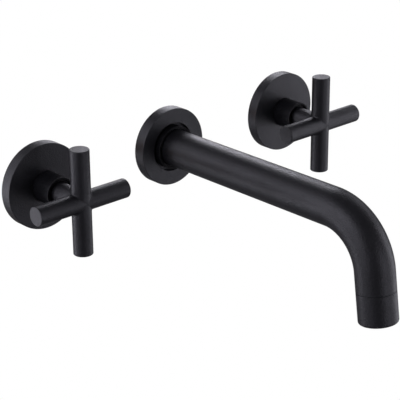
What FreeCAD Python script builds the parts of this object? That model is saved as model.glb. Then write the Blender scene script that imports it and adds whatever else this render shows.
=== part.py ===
import FreeCAD, Part
import math
import os
import re

import Sketcher

# A three-hole bath faucet for a wall: a long round spout between two cross handles, with the
# quarter-turn valves, the tee and the pipework that stand inside the wall behind them.
# Origin: centre of the spout flange on the finished wall face. +Z is up, -Y comes out of the wall
# into the room and +X is to the right as seen from the room.
#
# Every turned or padded piece is drawn in its own frame: X to the right, Y up and Z out of the
# wall. Its Placement then stands it on the wall face, or on the slanted end of the spout.

SIZES = [
    ("handle_spacing", 203.2, "between the two handle axes, a standard 8 inch layout"),
    ("break_edge", 0.5, "rounded edge of the finished trim"),
    ("flange_edge", 0.3, "rounded front edge of the flanges"),
    ("trim_chamfer", 0.3, "outer chamfer of sleeve and collar"),
    ("mouth_chamfer", 0.2, "inner chamfer of the sleeve's mouth"),
    ("weld_overlap", 0.3, "how far a rib runs into the wall that carries it"),
    ("fit_gap", 0.05, "radial clearance of a close fit"),
    ("flange_dia", 54, "handle flange"),
    ("flange_depth", 7.5, "handle flange, out from the wall"),
    ("flange_plate", 3, "thickness of each flange's front plate"),
    ("flange_rim", 4.5, "thickness of each flange's rim"),
    ("flange_boss_dia", 27, "boss behind the handle flange's plate"),
    ("flange_boss_back", 1.5, "boss stands back from the wall"),
    ("flange_seal_start", 3, "seal groove in the handle flange's bore, out from the wall"),
    ("flange_seal_width", 2.2, "seal groove in the handle flange's bore"),
    ("flange_seal_depth", 1.75, "seal groove's floor, outside the sleeve's surface"),
    ("sleeve_seal_radius", 0.835, "section radius of the sleeve's O-ring"),
    ("gasket_inset", 1.2, "from the flange's edge to its gasket groove"),
    ("gasket_width", 2, "gasket groove"),
    ("gasket_depth", 1.5, "gasket groove"),
    ("spout_flange_dia", 51, "spout flange"),
    ("spout_flange_depth", 8, "spout flange, out from the wall"),
    ("recess_dia", 32.1, "round recess in the spout flange's face"),
    ("recess_depth", 3.5, "round recess in the spout flange's face"),
    ("floor_depth", 2, "thickness of the recess floor"),
    ("collar_dia", 28.4, "clamp collar round the spout"),
    ("collar_front", 10.8, "collar's front face, out from the wall"),
    ("collar_mouth_dia", 26, "shallow counterbore in the collar's face"),
    ("collar_mouth_depth", 1.8, "shallow counterbore in the collar's face"),
    ("collar_seal_dia", 26.8, "seal groove inside the collar"),
    ("collar_seal_start", 1.4, "seal groove, from the collar's back"),
    ("collar_seal_width", 1.6, "seal groove inside the collar"),
    ("collar_seal_radius", 0.62, "section radius of the collar's O-ring"),
    ("sleeve_dia", 19.3, "sleeve behind each handle"),
    ("sleeve_end", 22, "sleeve's front end, out from the wall"),
    ("sleeve_root", 6, "sleeve's inner end, behind the wall face"),
    ("sleeve_mouth_dia", 17, "wide front part of the sleeve's bore"),
    ("sleeve_mouth_depth", 16, "wide front part of the sleeve's bore"),
    ("cross_height", 42, "from the wall to the plane of the crossed bars"),
    ("bar_dia", 12, "each bar of a cross handle"),
    ("bar_span", 66, "each bar of a cross handle, end to end"),
    ("hub_dia", 13.2, "handle hub"),
    ("hub_start", 20, "from the wall to the hub's back face"),
    ("hub_bore_dia", 10.5, "bore for the drive insert"),
    ("hub_bore_depth", 14, "bore for the drive insert"),
    ("hub_edge", 0.3, "rounded back edge of the hub"),
    ("insert_back", 0.5, "from the hub's back face to the insert"),
    ("insert_length", 13, "drive insert"),
    ("screw_reach", 28, "from the wall to each handle screw"),
    ("handle_screw_dia", 4, "handle grub screw"),
    ("handle_key", 2, "hexagon key of the handle screws"),
    ("grub_point", 0.6, "flat point of a grub screw, as a share of its radius"),
    ("grub_cone", 0.4, "height of a grub screw's cone, as a share of its radius"),
    ("grub_socket_depth", 1.6, "key socket of every screw"),
    ("screw_sink", 0.3, "grub screws end below the surface"),
    ("stem_dia", 8, "valve stem in its running bore"),
    ("stem_foot", 29.5, "stem's inner end, behind the wall face"),
    ("square_flats", 6, "square end of the stem"),
    ("stem_end", 33.5, "stem's square end, out from the wall"),
    ("square_start", 16, "where the stem turns square, out from the wall"),
    ("groove_dia", 6, "seal grooves of the stem"),
    ("groove_width", 2, "seal grooves of the stem"),
    ("inner_groove", 18.5, "inner seal groove, from the stem's foot"),
    ("outer_groove", 24.5, "outer seal groove, from the stem's foot"),
    ("stem_seal_radius", 0.47, "section radius of the stem's O-rings"),
    ("clip_groove_dia", 6.8, "clip groove of the stem"),
    ("clip_groove_width", 1, "clip groove of the stem"),
    ("clip_play", 0.2, "from the cartridge nose to the clip groove"),
    ("clip_dia", 11.2, "stem clip"),
    ("clip_thickness", 0.9, "stem clip"),
    ("clip_slot", 4.8, "open side of the stem clip"),
    ("drive_dia", 13.6, "drive flange on the stem"),
    ("drive_start", 7.2, "drive flange, from the stem's foot"),
    ("drive_width", 4, "drive flange"),
    ("prong_inner", 4.3, "inner side of the two drive prongs"),
    ("prong_outer", 6.2, "outer side of the two drive prongs"),
    ("prong_half", 2, "half the width of a drive prong"),
    ("prong_height", 7.3, "drive prongs"),
    ("notch_inner", 5, "inner radius of the stop notch"),
    ("notch_depth", 2.1, "stop notch"),
    ("chamber_dia", 14.4, "disc chamber of the cartridge"),
    ("chamber_depth", 20, "disc chamber, from the cartridge's foot"),
    ("cartridge_foot", 38, "cartridge's inner end, behind the wall face"),
    ("nose_dia", 14, "nose of the cartridge"),
    ("nose_end", 14, "cartridge nose, out from the wall"),
    ("nose_chamfer", 0.5, "nose of the cartridge"),
    ("skirt_dia", 18, "lower part of the cartridge"),
    ("skirt_length", 18, "skirt, from the cartridge's foot"),
    ("window_half", 4.5, "half the width of each window in the skirt"),
    ("window_start", 10, "windows, from the cartridge's foot"),
    ("window_end", 15.5, "windows, from the cartridge's foot"),
    ("thread_dia", 20.8, "threaded part of the cartridge"),
    ("shoulder_height", 30, "end of the cartridge's thread, from its foot"),
    ("hex_flats", 22, "spanner flats of cartridge and nipple"),
    ("cartridge_hex_start", 24, "spanner flats, from the cartridge's foot"),
    ("disc_dia", 13.2, "moving ceramic disc"),
    ("moving_disc_thickness", 3.5, "moving ceramic disc"),
    ("moving_disc_foot", 31.5, "moving disc's inner face, behind the wall face"),
    ("drive_slot_inner", 4.2, "inner end of the moving disc's drive slots"),
    ("drive_slot_half", 2.1, "half the width of a drive slot"),
    ("drive_slot_depth", 1.7, "drive slots"),
    ("fixed_disc_dia", 14, "fixed ceramic disc"),
    ("fixed_disc_thickness", 3.45, "fixed ceramic disc"),
    ("fixed_disc_foot", 35, "fixed disc's inner face, behind the wall face"),
    ("seat_seal_inner", 5.4, "inner radius of the seat seal"),
    ("seat_seal_length", 4.9, "seat seal"),
    ("port_inner", 1.6, "inner radius of the disc ports"),
    ("port_outer", 5.2, "outer radius of the disc ports"),
    ("port_span", 80, "angle of each disc port"),
    ("quarter_turn", 90, "travel of each handle"),
    ("stop_span", 60, "angle of the stop rib in the cartridge"),
    ("stop_play", 2, "angle between rib and notch at each end"),
    ("rib_inner", 5.4, "inner radius of the stop rib"),
    ("rib_height", 2.3, "stop rib"),
    ("pipe_plane", 26, "pipe and tee axes, behind the wall face"),
    ("valve_front", 14, "front face of each valve body, behind the wall face"),
    ("plate_face", 60, "front face of the mounting plate, behind the wall face"),
    ("barrel_dia", 30, "valve body barrel"),
    ("barrel_edge", 0.8, "rounded front edge of the valve body"),
    ("gallery_start", 29, "outlet gallery, from the mounting plate"),
    ("gallery_end", 39.7, "outlet gallery, from the mounting plate"),
    ("gallery_dia", 22.4, "outlet gallery in the valve body"),
    ("seat_plane", 40, "seat face in the valve body, behind the wall face"),
    ("waterway_dia", 12, "drilled waterways"),
    ("inlet_sump", 4, "waterway beyond the inlet axis"),
    ("tee_sump", 6, "waterway beyond the tee's axis"),
    ("inlet_axis", 46.5, "inlet axis, behind the wall face"),
    ("inlet_boss_dia", 26, "inlet boss"),
    ("inlet_drop", 44, "from the valve axis down to the inlet face"),
    ("half_inch_bore", 18.632, "bore of a G 1/2 female thread"),
    ("inlet_thread_length", 15, "G 1/2 female thread of each inlet"),
    ("outlet_boss_dia", 21, "threaded outlet boss for the compression nut"),
    ("outlet_shoulder_dia", 22, "plain shoulder of the outlet boss"),
    ("outlet_shoulder", 19, "length of that shoulder from the valve axis"),
    ("outlet_reach", 28, "from the valve axis to the outlet face"),
    ("tee_reach", 24, "from the tee's centre to its side faces"),
    ("tee_shoulder", 14, "length of the tee's plain shoulder from its centre"),
    ("tee_body_dia", 27, "tee body and front boss"),
    ("tee_front", 8, "tee's front face, behind the wall face"),
    ("pillar_dia", 16, "tee's pillar to the mounting plate"),
    ("tee_thread_length", 12, "G 1/2 female thread in the tee's front"),
    ("tee_tapped_depth", 8, "tapped hole in the tee's pillar"),
    ("pipe_dia", 15, "crossover pipes"),
    ("pipe_bore", 12, "crossover pipes"),
    ("socket_depth", 8, "pipe socket in valve and tee"),
    ("pipe_play", 0.2, "end play of a pipe in its socket"),
    ("nut_flats", 24, "compression nut"),
    ("nut_length", 13, "compression nut"),
    ("nut_wall", 3, "closed end of the compression nut"),
    ("olive_dia", 19, "compression olive"),
    ("olive_length", 2.8, "compression olive"),
    ("nipple_dia", 16, "smooth part of the spout nipple"),
    ("nipple_bore", 10, "waterway of the spout nipple"),
    ("nipple_end", 26, "nipple's front end, out from the wall"),
    ("nipple_foot", 19, "nipple's inner end, behind the wall face"),
    ("nipple_thread_length", 11, "male thread of the nipple"),
    ("nipple_hex_length", 5, "spanner flats of the nipple"),
    ("hex_overlap", 1, "how far the spanner flats run in towards the bore"),
    ("nipple_chamfer", 0.6, "nipple's front end"),
    ("nipple_groove_dia", 13.4, "seal grooves of the nipple"),
    ("nipple_groove_width", 1.8, "seal grooves of the nipple"),
    ("first_nipple_groove", 38.2, "inner seal groove, from the nipple's foot"),
    ("second_nipple_groove", 41.6, "outer seal groove, from the nipple's foot"),
    ("nipple_seal_radius", 0.61, "section radius of the nipple's O-rings"),
    ("lock_groove_dia", 14.4, "screw groove of the nipple"),
    ("lock_groove_width", 5.2, "screw groove of the nipple"),
    ("socket_length", 28, "brass socket in the root of the spout"),
    ("tube_dia", 24, "spout tube"),
    ("tube_bore", 20, "spout tube"),
    ("tube_root", 2, "spout tube's inner end, out from the wall"),
    ("straight_run", 147.3, "from the wall to the start of the bend"),
    ("bend_radius", 34.6, "bend of the spout, on its centre line"),
    ("bend_angle", 82, "bend of the spout"),
    ("tail_length", 11.7, "straight tail between bend and end cap"),
    ("cap_length", 19.2, "end cap"),
    ("seam", 0.24, "hairline joint between tube and end cap"),
    ("tip_round", 1.3, "rounded lower edge of the end cap"),
    ("outlet_dia", 19.6, "opening in the end cap"),
    ("lip_depth", 2, "lip below the flow straightener"),
    ("fitting_root", 8, "part of the outlet fitting inside the tube"),
    ("fitting_bore_dia", 17, "waterway of the outlet fitting"),
    ("washer_bore_dia", 16.4, "aerator washer"),
    ("washer_dia", 21.2, "aerator washer"),
    ("washer_thickness", 1.4, "aerator washer"),
    ("straightener_dia", 21.4, "flow straightener"),
    ("straightener_length", 6.4, "flow straightener"),
    ("jet_dia", 1.6, "each hole of the flow straightener"),
    ("inner_jets", 2.6, "radius of the inner ring of holes"),
    ("middle_jets", 5.1, "radius of the middle ring of holes"),
    ("outer_jets", 7.6, "radius of the outer ring of holes"),
    ("tip_thread_dia", 21.8, "threaded end of the outlet fitting"),
    ("spout_screw_reach", 15, "from the wall to the spout screw"),
    ("spout_screw_dia", 5, "spout grub screw"),
    ("spout_key", 2.5, "hexagon key of the spout screw and the plate screws"),
    ("plate_thickness", 2.5, "mounting plate"),
    ("plate_width", 270, "mounting plate"),
    ("plate_height", 44, "mounting plate"),
    ("plate_corner", 6, "corner radius of the mounting plate"),
    ("fixing_span", 250, "between wall fixing holes, across"),
    ("fixing_rise", 28, "between wall fixing holes, up"),
    ("fixing_dia", 5.5, "wall fixing holes and screw holes of the plate"),
    ("valve_screw_offset", 10, "valve screws, each side of the valve axis"),
    ("plate_screw_dia", 4.1, "shank of the plate screws"),
    ("plate_screw_length", 6.5, "plate screws"),
    ("countersink", 1.3, "countersink of the plate's screw holes"),
    ("tapped_dia", 4.2, "tapped holes for the plate screws"),
    ("tapped_depth", 4.5, "tapped holes in the valve bodies"),
]

HALF_SPACING = "handle_spacing / 2"
STOP_MIDDLE = 90  # degrees round from the right, where the cartridge's stop rib stands

doc = FreeCAD.newDocument("bath_faucet")
sheet = doc.addObject("Spreadsheet::Sheet", "Sizes")
for row, (alias, number, meaning) in enumerate(SIZES, 1):
    sheet.set("A%d" % row, meaning)
    sheet.set("B%d" % row, str(number))
    sheet.setAlias("B%d" % row, alias)
doc.recompute()

ALIASES = {alias for alias, number, meaning in SIZES}
nodes = []


# ---------------------------------------------------------------- sizes and places

def bound(text):
    """The expression with the sheet's name before each alias."""
    def with_sheet(word):
        return "Sizes." + word[0] if word[0] in ALIASES else word[0]
    return re.sub(r"[a-z][a-z_0-9]*", with_sheet, text)


def size(text):
    """The number that an expression of aliases gives."""
    return float(sheet.evalExpression(text))


def keep(piece, label):
    """Names a finished sub-part; its label becomes its node's name."""
    piece.Label = label
    nodes.append(piece)
    return piece


def place(piece, across="0", out="0", up="0", turn="90"):
    """Stands a piece on the wall: its own Z axis comes out of the wall, its own Y axis points up."""
    rotation = FreeCAD.Rotation(FreeCAD.Vector(1, 0, 0), size(turn))
    piece.Placement = FreeCAD.Placement(FreeCAD.Vector(), rotation)
    piece.setExpression("Placement.Base.x", bound(across))
    piece.setExpression("Placement.Base.y", bound("-(%s)" % out))
    piece.setExpression("Placement.Base.z", bound(up))
    piece.setExpression("Placement.Rotation.Angle", bound(turn))


def side_axis(side):
    """The handle axis of the hot (-1) or the cold (1) side."""
    return "%d * %s" % (side, HALF_SPACING)


# ---------------------------------------------------------------- sketches

def sketch_on(body, name, plane, lift="0"):
    """A sketch on one of the body's own origin planes, lifted along that plane's normal."""
    sketch = body.newObject("Sketcher::SketchObject", body.Name + "_" + name)
    origin_plane = next(feature for feature in body.Origin.OriginFeatures if feature.Role == plane)
    sketch.AttachmentSupport = (origin_plane, [""])
    sketch.MapMode = "FlatFace"
    if lift != "0":
        sketch.setExpression("AttachmentOffset.Base.z", bound(lift))
    return sketch


def dimension(sketch, kind, where, text):
    """Adds a driving dimension and ties it to the sheet."""
    index = sketch.addConstraint(Sketcher.Constraint(kind, *where, size(text)))
    sketch.setExpression("Constraints[%d]" % index, bound(text))


def hold(sketch, shape, point, across, up):
    """Fixes one point of a shape at two distances from the sketch's origin."""
    for kind, axis, text in (("DistanceX", -2, across), ("DistanceY", -1, up)):
        number = size(text)
        if abs(number) < 1e-9:
            sketch.addConstraint(Sketcher.Constraint("PointOnObject", shape, point, axis))
        elif number > 0:
            dimension(sketch, kind, (-1, 1, shape, point), text)
        else:
            dimension(sketch, kind, (shape, point, -1, 1), "-(%s)" % text)


def outline(sketch, corners):
    """A closed outline of straight lines through (across, up) corners."""
    points = [FreeCAD.Vector(size(across), size(up), 0) for across, up in corners]
    after = points[1:] + points[:1]
    lines = [sketch.addGeometry(Part.LineSegment(start, end)) for start, end in zip(points, after)]
    for line, following in zip(lines, lines[1:] + lines[:1]):
        sketch.addConstraint(Sketcher.Constraint("Coincident", line, 2, following, 1))
    for line, (across, up) in zip(lines, corners):
        hold(sketch, line, 1, across, up)


def rectangle(sketch, low, high):
    """A rectangle between two (across, up) corners."""
    outline(sketch, [low, (high[0], low[1]), high, (low[0], high[1])])


def circle(sketch, radius, across="0", up="0"):
    centre = FreeCAD.Vector(size(across), size(up), 0)
    ring = sketch.addGeometry(Part.Circle(centre, FreeCAD.Vector(0, 0, 1), size(radius)))
    hold(sketch, ring, 3, across, up)
    dimension(sketch, "Radius", (ring,), radius)


def hexagon(sketch, flats):
    """A regular hexagon given across its flats, with a level top and bottom."""
    radius = size(flats) / math.sqrt(3)
    turns = [math.radians(60 * corner) for corner in range(6)]
    points = [FreeCAD.Vector(radius * math.cos(turn), radius * math.sin(turn), 0) for turn in turns]
    lines = [sketch.addGeometry(Part.LineSegment(points[i], points[(i + 1) % 6])) for i in range(6)]
    guide = sketch.addGeometry(Part.Circle(FreeCAD.Vector(), FreeCAD.Vector(0, 0, 1), radius), True)
    sketch.addConstraint(Sketcher.Constraint("Coincident", guide, 3, -1, 1))
    dimension(sketch, "Radius", (guide,), "%s / sqrt(3)" % flats)
    for i in range(6):
        sketch.addConstraint(Sketcher.Constraint("Coincident", lines[i], 2, lines[(i + 1) % 6], 1))
        sketch.addConstraint(Sketcher.Constraint("PointOnObject", lines[i], 1, guide))
    for line in lines[1:]:
        sketch.addConstraint(Sketcher.Constraint("Equal", lines[0], line))
    sketch.addConstraint(Sketcher.Constraint("Horizontal", lines[1]))


def sector(sketch, inner, outer, middle, span):
    """A slice of a ring: two arcs about the origin and two radial ends, middle in degrees."""
    inner_radius, outer_radius = size(inner), size(outer)
    ends = [math.radians(middle + sign * size(span) / 2) for sign in (-1, 1)]
    axis = FreeCAD.Vector(0, 0, 1)
    arcs = []
    for radius in (inner_radius, outer_radius):
        whole = Part.Circle(FreeCAD.Vector(), axis, radius)
        arcs.append(sketch.addGeometry(Part.ArcOfCircle(whole, ends[0], ends[1])))
    sides = []
    for end in ends:
        near = FreeCAD.Vector(inner_radius * math.cos(end), inner_radius * math.sin(end), 0)
        far = FreeCAD.Vector(outer_radius * math.cos(end), outer_radius * math.sin(end), 0)
        sides.append(sketch.addGeometry(Part.LineSegment(near, far)))
    for arc, text in zip(arcs, (inner, outer)):
        sketch.addConstraint(Sketcher.Constraint("Coincident", arc, 3, -1, 1))
        dimension(sketch, "Radius", (arc,), text)
    for side, arc_end in zip(sides, (1, 2)):
        sketch.addConstraint(Sketcher.Constraint("Coincident", side, 1, arcs[0], arc_end))
        sketch.addConstraint(Sketcher.Constraint("Coincident", side, 2, arcs[1], arc_end))
        sketch.addConstraint(Sketcher.Constraint("PointOnObject", -1, 1, side))
    sketch.addConstraint(Sketcher.Constraint("Angle", sides[0], ends[0]))
    sketch.addConstraint(Sketcher.Constraint("Angle", sides[1], ends[1]))


# ---------------------------------------------------------------- features

def new_body(label):
    return keep(doc.addObject("PartDesign::Body", label), label)


def set_extent(feature, length, symmetric, backwards):
    if length == "through":
        feature.Type = "ThroughAll"
    else:
        feature.setExpression("Length", bound(length))
    if symmetric:
        feature.SideType = "Symmetric"
    feature.Reversed = backwards


def pad(body, name, sketch, length, symmetric=False, backwards=False):
    feature = body.newObject("PartDesign::Pad", body.Name + "_" + name)
    feature.Profile = sketch
    set_extent(feature, length, symmetric, backwards)
    doc.recompute()
    return feature


def cut(body, name, kind, sketch, prepare):
    """Adds a cutting feature and makes sure that it took material away."""
    before = body.Shape.Volume
    feature = body.newObject(kind, body.Name + "_" + name)
    feature.Profile = sketch
    prepare(feature)
    doc.recompute()
    if not body.Shape.Volume < before - 0.01:
        raise ValueError("%s cuts nothing from %s" % (name, body.Label))
    return feature


def pocket(body, name, sketch, length, symmetric=False, backwards=False):
    kind = "PartDesign::Pocket"
    return cut(body, name, kind, sketch, lambda made: set_extent(made, length, symmetric, backwards))


def about_own_axis(feature):
    feature.ReferenceAxis = (feature.Profile[0], ["V_Axis"])
    feature.Angle = 360


def turn_outline(body, name, corners):
    """A full turn of a (radius, height) outline about the body's own Z axis."""
    sketch = sketch_on(body, name + "_outline", "XZ_Plane")
    outline(sketch, corners)
    feature = body.newObject("PartDesign::Revolution", body.Name + "_" + name)
    feature.Profile = sketch
    about_own_axis(feature)
    doc.recompute()
    return feature


def bore_outline(body, name, corners):
    """Turns a (radius, height) outline out of the body."""
    sketch = sketch_on(body, name + "_outline", "XZ_Plane")
    outline(sketch, corners)
    return cut(body, name, "PartDesign::Groove", sketch, about_own_axis)


def circle_edges(shape, radius, height=None):
    """Names of the round edges of one radius, at one height if it is given."""
    names = []
    for number, edge in enumerate(shape.Edges, 1):
        round_edge = isinstance(edge.Curve, Part.Circle) and abs(edge.Curve.Radius - radius) < 1e-4
        if round_edge and (height is None or abs(edge.Curve.Center.z - height) < 1e-4):
            names.append("Edge%d" % number)
    return names


def round_over(body, name, edges, radius):
    """Rounds named edges of the body's last feature."""
    if not edges:
        raise ValueError("%s finds no edge on %s" % (name, body.Label))
    base = body.Tip
    feature = body.newObject("PartDesign::Fillet", body.Name + "_" + name)
    feature.Base = (base, edges)
    feature.setExpression("Radius", bound(radius))
    body.Tip = feature
    doc.recompute()
    if "Invalid" in feature.State:
        raise ValueError("%s fails on %s" % (name, body.Label))
    return feature


def turned(label, corners, across="0", out="0", up="0", turn="90"):
    """A sub-part that is one turned outline."""
    body = new_body(label)
    turn_outline(body, "turned", corners)
    place(body, across, out, up, turn)
    return body


def plain_ring(inner, outer, length):
    """Corners of a plain ring that starts at height 0."""
    return [(inner, "0"), (outer, "0"), (outer, length), (inner, length)]


def seal_ring(label, major, minor, across, out):
    """An O-ring lying round an axis that comes out of the wall."""
    ring = doc.addObject("Part::Torus", label)
    ring.setExpression("Radius1", bound(major))
    ring.setExpression("Radius2", bound(minor))
    place(ring, across, out)
    ring.Label = label
    return ring


def group(label, members):
    """One node that holds several alike, separate solids."""
    joined = doc.addObject("Part::Compound", label)
    joined.Links = members
    return keep(joined, label)


def loose(body, label):
    """Takes a body out of the node list, as one member of a group."""
    nodes.remove(body)
    body.Label = label
    return body


# ---------------------------------------------------------------- trim on the wall

def gasket_groove(edge):
    """Corners, from the outside inwards, of the gasket groove in the back of a flange."""
    outer = "%s - gasket_inset" % edge
    inner = "%s - gasket_inset - gasket_width" % edge
    return [(outer, "0"), (outer, "gasket_depth"), (inner, "gasket_depth"), (inner, "0")]


def flange_gasket(label, edge, across):
    inner = "%s - gasket_inset - gasket_width + fit_gap" % edge
    outer = "%s - gasket_inset - fit_gap" % edge
    turned(label, plain_ring(inner, outer, "gasket_depth - fit_gap"), across)


def handle_flange(name, across):
    """A turned cup: front plate, rim with its gasket groove, and a boss with a seal groove."""
    edge = "flange_dia / 2"
    bore = "sleeve_dia / 2 + 2 * fit_gap"
    groove = "sleeve_dia / 2 + flange_seal_depth"
    groove_end = "flange_seal_start + flange_seal_width"
    behind = "flange_depth - flange_plate"
    corners = [(bore, "flange_boss_back"), (bore, "flange_seal_start"), (groove, "flange_seal_start"),
               (groove, groove_end), (bore, groove_end), (bore, "flange_depth"), (edge, "flange_depth"),
               (edge, "0")]
    corners += gasket_groove(edge)
    corners += [("%s - flange_rim" % edge, "0"), ("%s - flange_rim" % edge, behind),
                ("flange_boss_dia / 2", behind), ("flange_boss_dia / 2", "flange_boss_back")]
    body = turned(name + "_flange", corners, across)
    edges = circle_edges(body.Tip.Shape, size(edge), size("flange_depth"))
    round_over(body, "front_edge", edges, "flange_edge")
    flange_gasket(name + "_flange_gasket", edge, across)


def sleeve(name, across):
    """The short tube between flange and hub, screwed on the cartridge's nose."""
    outer = "sleeve_dia / 2"
    mouth = "sleeve_mouth_dia / 2"
    thread = "nose_dia / 2 + 2 * fit_gap"
    end = "sleeve_end + sleeve_root"
    shoulder = "sleeve_end + sleeve_root - sleeve_mouth_depth"
    corners = [(thread, "0"), (outer, "0"), (outer, "%s - trim_chamfer" % end),
               ("%s - trim_chamfer" % outer, end), ("%s + mouth_chamfer" % mouth, end),
               (mouth, "%s - mouth_chamfer" % end), (mouth, shoulder), (thread, shoulder)]
    turned(name + "_sleeve", corners, across, "-sleeve_root")
    ring = seal_ring(name + "_sleeve_seal", "sleeve_dia / 2 + sleeve_seal_radius + fit_gap / 2",
                     "sleeve_seal_radius", across, "flange_seal_start + flange_seal_width / 2")
    keep(ring, name + "_sleeve_seal")


def spout_flange():
    """A turned cup with a round recess in its face, where the collar sits round the spout."""
    edge = "spout_flange_dia / 2"
    floor_back = "spout_flange_depth - recess_depth - floor_depth"
    floor_front = "spout_flange_depth - recess_depth"
    bore = "tube_dia / 2 + 4 * fit_gap"
    corners = [(bore, floor_back), (bore, floor_front), ("recess_dia / 2", floor_front),
               ("recess_dia / 2", "spout_flange_depth"), (edge, "spout_flange_depth"), (edge, "0")]
    corners += gasket_groove(edge)
    corners += [("%s - flange_rim" % edge, "0"), ("%s - flange_rim" % edge, floor_back)]
    body = turned("spout_flange", corners)
    edges = circle_edges(body.Tip.Shape, size(edge), size("spout_flange_depth"))
    round_over(body, "front_edge", edges, "flange_edge")
    flange_gasket("spout_flange_gasket", edge, "0")


def spout_collar():
    """A ring that grips the spout with a seal and holds the flange against the wall."""
    back = "spout_flange_depth - recess_depth + fit_gap"
    length = "collar_front - (%s)" % back
    bore = "tube_dia / 2 + fit_gap"
    seal = "collar_seal_dia / 2"
    outer = "collar_dia / 2"
    mouth = "collar_mouth_dia / 2"
    mouth_start = "%s - collar_mouth_depth" % length
    seal_end = "collar_seal_start + collar_seal_width"
    corners = [(bore, "0"), (outer, "0"), (outer, "%s - trim_chamfer" % length),
               ("%s - trim_chamfer" % outer, length), (mouth, length), (mouth, mouth_start),
               (bore, mouth_start), (bore, seal_end), (seal, seal_end), (seal, "collar_seal_start"),
               (bore, "collar_seal_start")]
    turned("spout_collar", corners, "0", back)
    ring = seal_ring("spout_collar_seal", "tube_dia / 2 + collar_seal_radius + fit_gap", "collar_seal_radius",
                     "0", "%s + collar_seal_start + collar_seal_width / 2" % back)
    keep(ring, "spout_collar_seal")


# ---------------------------------------------------------------- handles

def cross_handle(name, across):
    """Two crossed round bars on a hub, brazed into one piece, bored for the drive insert."""
    body = new_body(name + "_handle")
    centre = "cross_height - hub_start"
    hub = sketch_on(body, "hub_circle", "XY_Plane")
    circle(hub, "hub_dia / 2")
    pad(body, "hub", hub, centre)
    for bar, plane in (("upright", "XZ_Plane"), ("level", "YZ_Plane")):
        section = sketch_on(body, bar + "_circle", plane)
        circle(section, "bar_dia / 2", "0", centre)
        pad(body, bar, section, "bar_span", symmetric=True)
    reach = size("bar_span / 2")
    ends = []
    for number, edge in enumerate(body.Tip.Shape.Edges, 1):
        if isinstance(edge.Curve, Part.Circle):
            middle = edge.Curve.Center
            if abs(max(abs(middle.x), abs(middle.y)) - reach) < 1e-4:
                ends.append("Edge%d" % number)
    round_over(body, "bar_ends", ends, "break_edge")
    round_over(body, "hub_edge", circle_edges(body.Tip.Shape, size("hub_dia / 2"), 0), "hub_edge")
    bore = sketch_on(body, "bore_circle", "XY_Plane")
    circle(bore, "hub_bore_dia / 2")
    pocket(body, "bore", bore, "hub_bore_depth", backwards=True)
    hole = sketch_on(body, "screw_circle", "XZ_Plane")
    circle(hole, "handle_screw_dia / 2 + fit_gap", "0", "screw_reach - hub_start")
    pocket(body, "screw_hole", hole, "hub_dia", backwards=True)
    place(body, across, "hub_start")


def drive_insert(name, across):
    """The brass insert between the hub's bore and the square of the stem."""
    start = "hub_start + insert_back"
    body = new_body(name + "_drive_insert")
    section = sketch_on(body, "section", "XY_Plane")
    circle(section, "hub_bore_dia / 2 - fit_gap")
    half = "square_flats / 2 + fit_gap"
    rectangle(section, ("-(%s)" % half, "-(%s)" % half), (half, half))
    pad(body, "ring", section, "insert_length")
    hole = sketch_on(body, "screw_circle", "XZ_Plane")
    circle(hole, "handle_screw_dia / 2 + fit_gap", "0", "screw_reach - (%s)" % start)
    pocket(body, "screw_hole", hole, "hub_dia", backwards=True)
    place(body, across, start)


def grub_screw(label, radius, tip, head, flats, across, out):
    """A socket grub screw with a cone point; its own Z axis points down, away from its axis."""
    cone_end = "%s + (%s) * grub_cone" % (tip, radius)
    point = "(%s) * grub_point" % radius
    corners = [("0", tip), (point, tip), (radius, cone_end), (radius, head), ("0", head)]
    body = new_body(label)
    turn_outline(body, "turned", corners)
    socket = sketch_on(body, "socket_hexagon", "XY_Plane", head)
    hexagon(socket, flats)
    pocket(body, "socket", socket, "grub_socket_depth")
    place(body, across, out, "0", "180")


# ---------------------------------------------------------------- valve cartridge

def stem(name, side, across):
    """The turned stem: square end, seal grooves, drive flange with its stop notch, and two prongs."""
    body = new_body(name + "_stem")
    shaft = "stem_dia / 2"
    square_at = "square_start + stem_foot"
    groove = "groove_dia / 2"
    drive_end = "drive_start + drive_width"
    corners = [("0", "drive_start"), ("drive_dia / 2", "drive_start"), ("drive_dia / 2", drive_end),
               (shaft, drive_end)]
    grooves = (("inner_groove", groove, "groove_width"), ("outer_groove", groove, "groove_width"),
               ("nose_end + clip_play + stem_foot", "clip_groove_dia / 2", "clip_groove_width"))
    for start, depth, width in grooves:
        end = "%s + %s" % (start, width)
        corners += [(shaft, start), (depth, start), (depth, end), (shaft, end)]
    corners += [(shaft, square_at), ("0", square_at)]
    turn_outline(body, "turned", corners)
    square = sketch_on(body, "square", "XY_Plane", square_at)
    half = "square_flats / 2"
    rectangle(square, ("-" + half, "-" + half), (half, half))
    pad(body, "square_end", square, "stem_end - square_start")
    prongs = sketch_on(body, "prongs_outline", "XY_Plane")
    rectangle(prongs, ("prong_inner", "-prong_half"), ("prong_outer", "prong_half"))
    rectangle(prongs, ("-prong_outer", "-prong_half"), ("-prong_inner", "prong_half"))
    pad(body, "prongs", prongs, "prong_height")
    notch = sketch_on(body, "notch_sector", "XY_Plane", drive_end)
    lag = side * size("quarter_turn") / 2
    sector(notch, "notch_inner", "drive_dia", STOP_MIDDLE + lag, "quarter_turn + stop_span + 2 * stop_play")
    pocket(body, "stop_notch", notch, "notch_depth")
    place(body, across, "-stem_foot")


def stem_seals(name, across):
    """The two O-rings in the stem's grooves."""
    rings = []
    for groove in ("inner_groove", "outer_groove"):
        out = "%s + groove_width / 2 - stem_foot" % groove
        middle = "groove_dia / 2 + stem_seal_radius + fit_gap / 2"
        rings.append(seal_ring("%s_seal_in_%s" % (name, groove), middle, "stem_seal_radius", across, out))
    group(name + "_stem_seals", rings)


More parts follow.
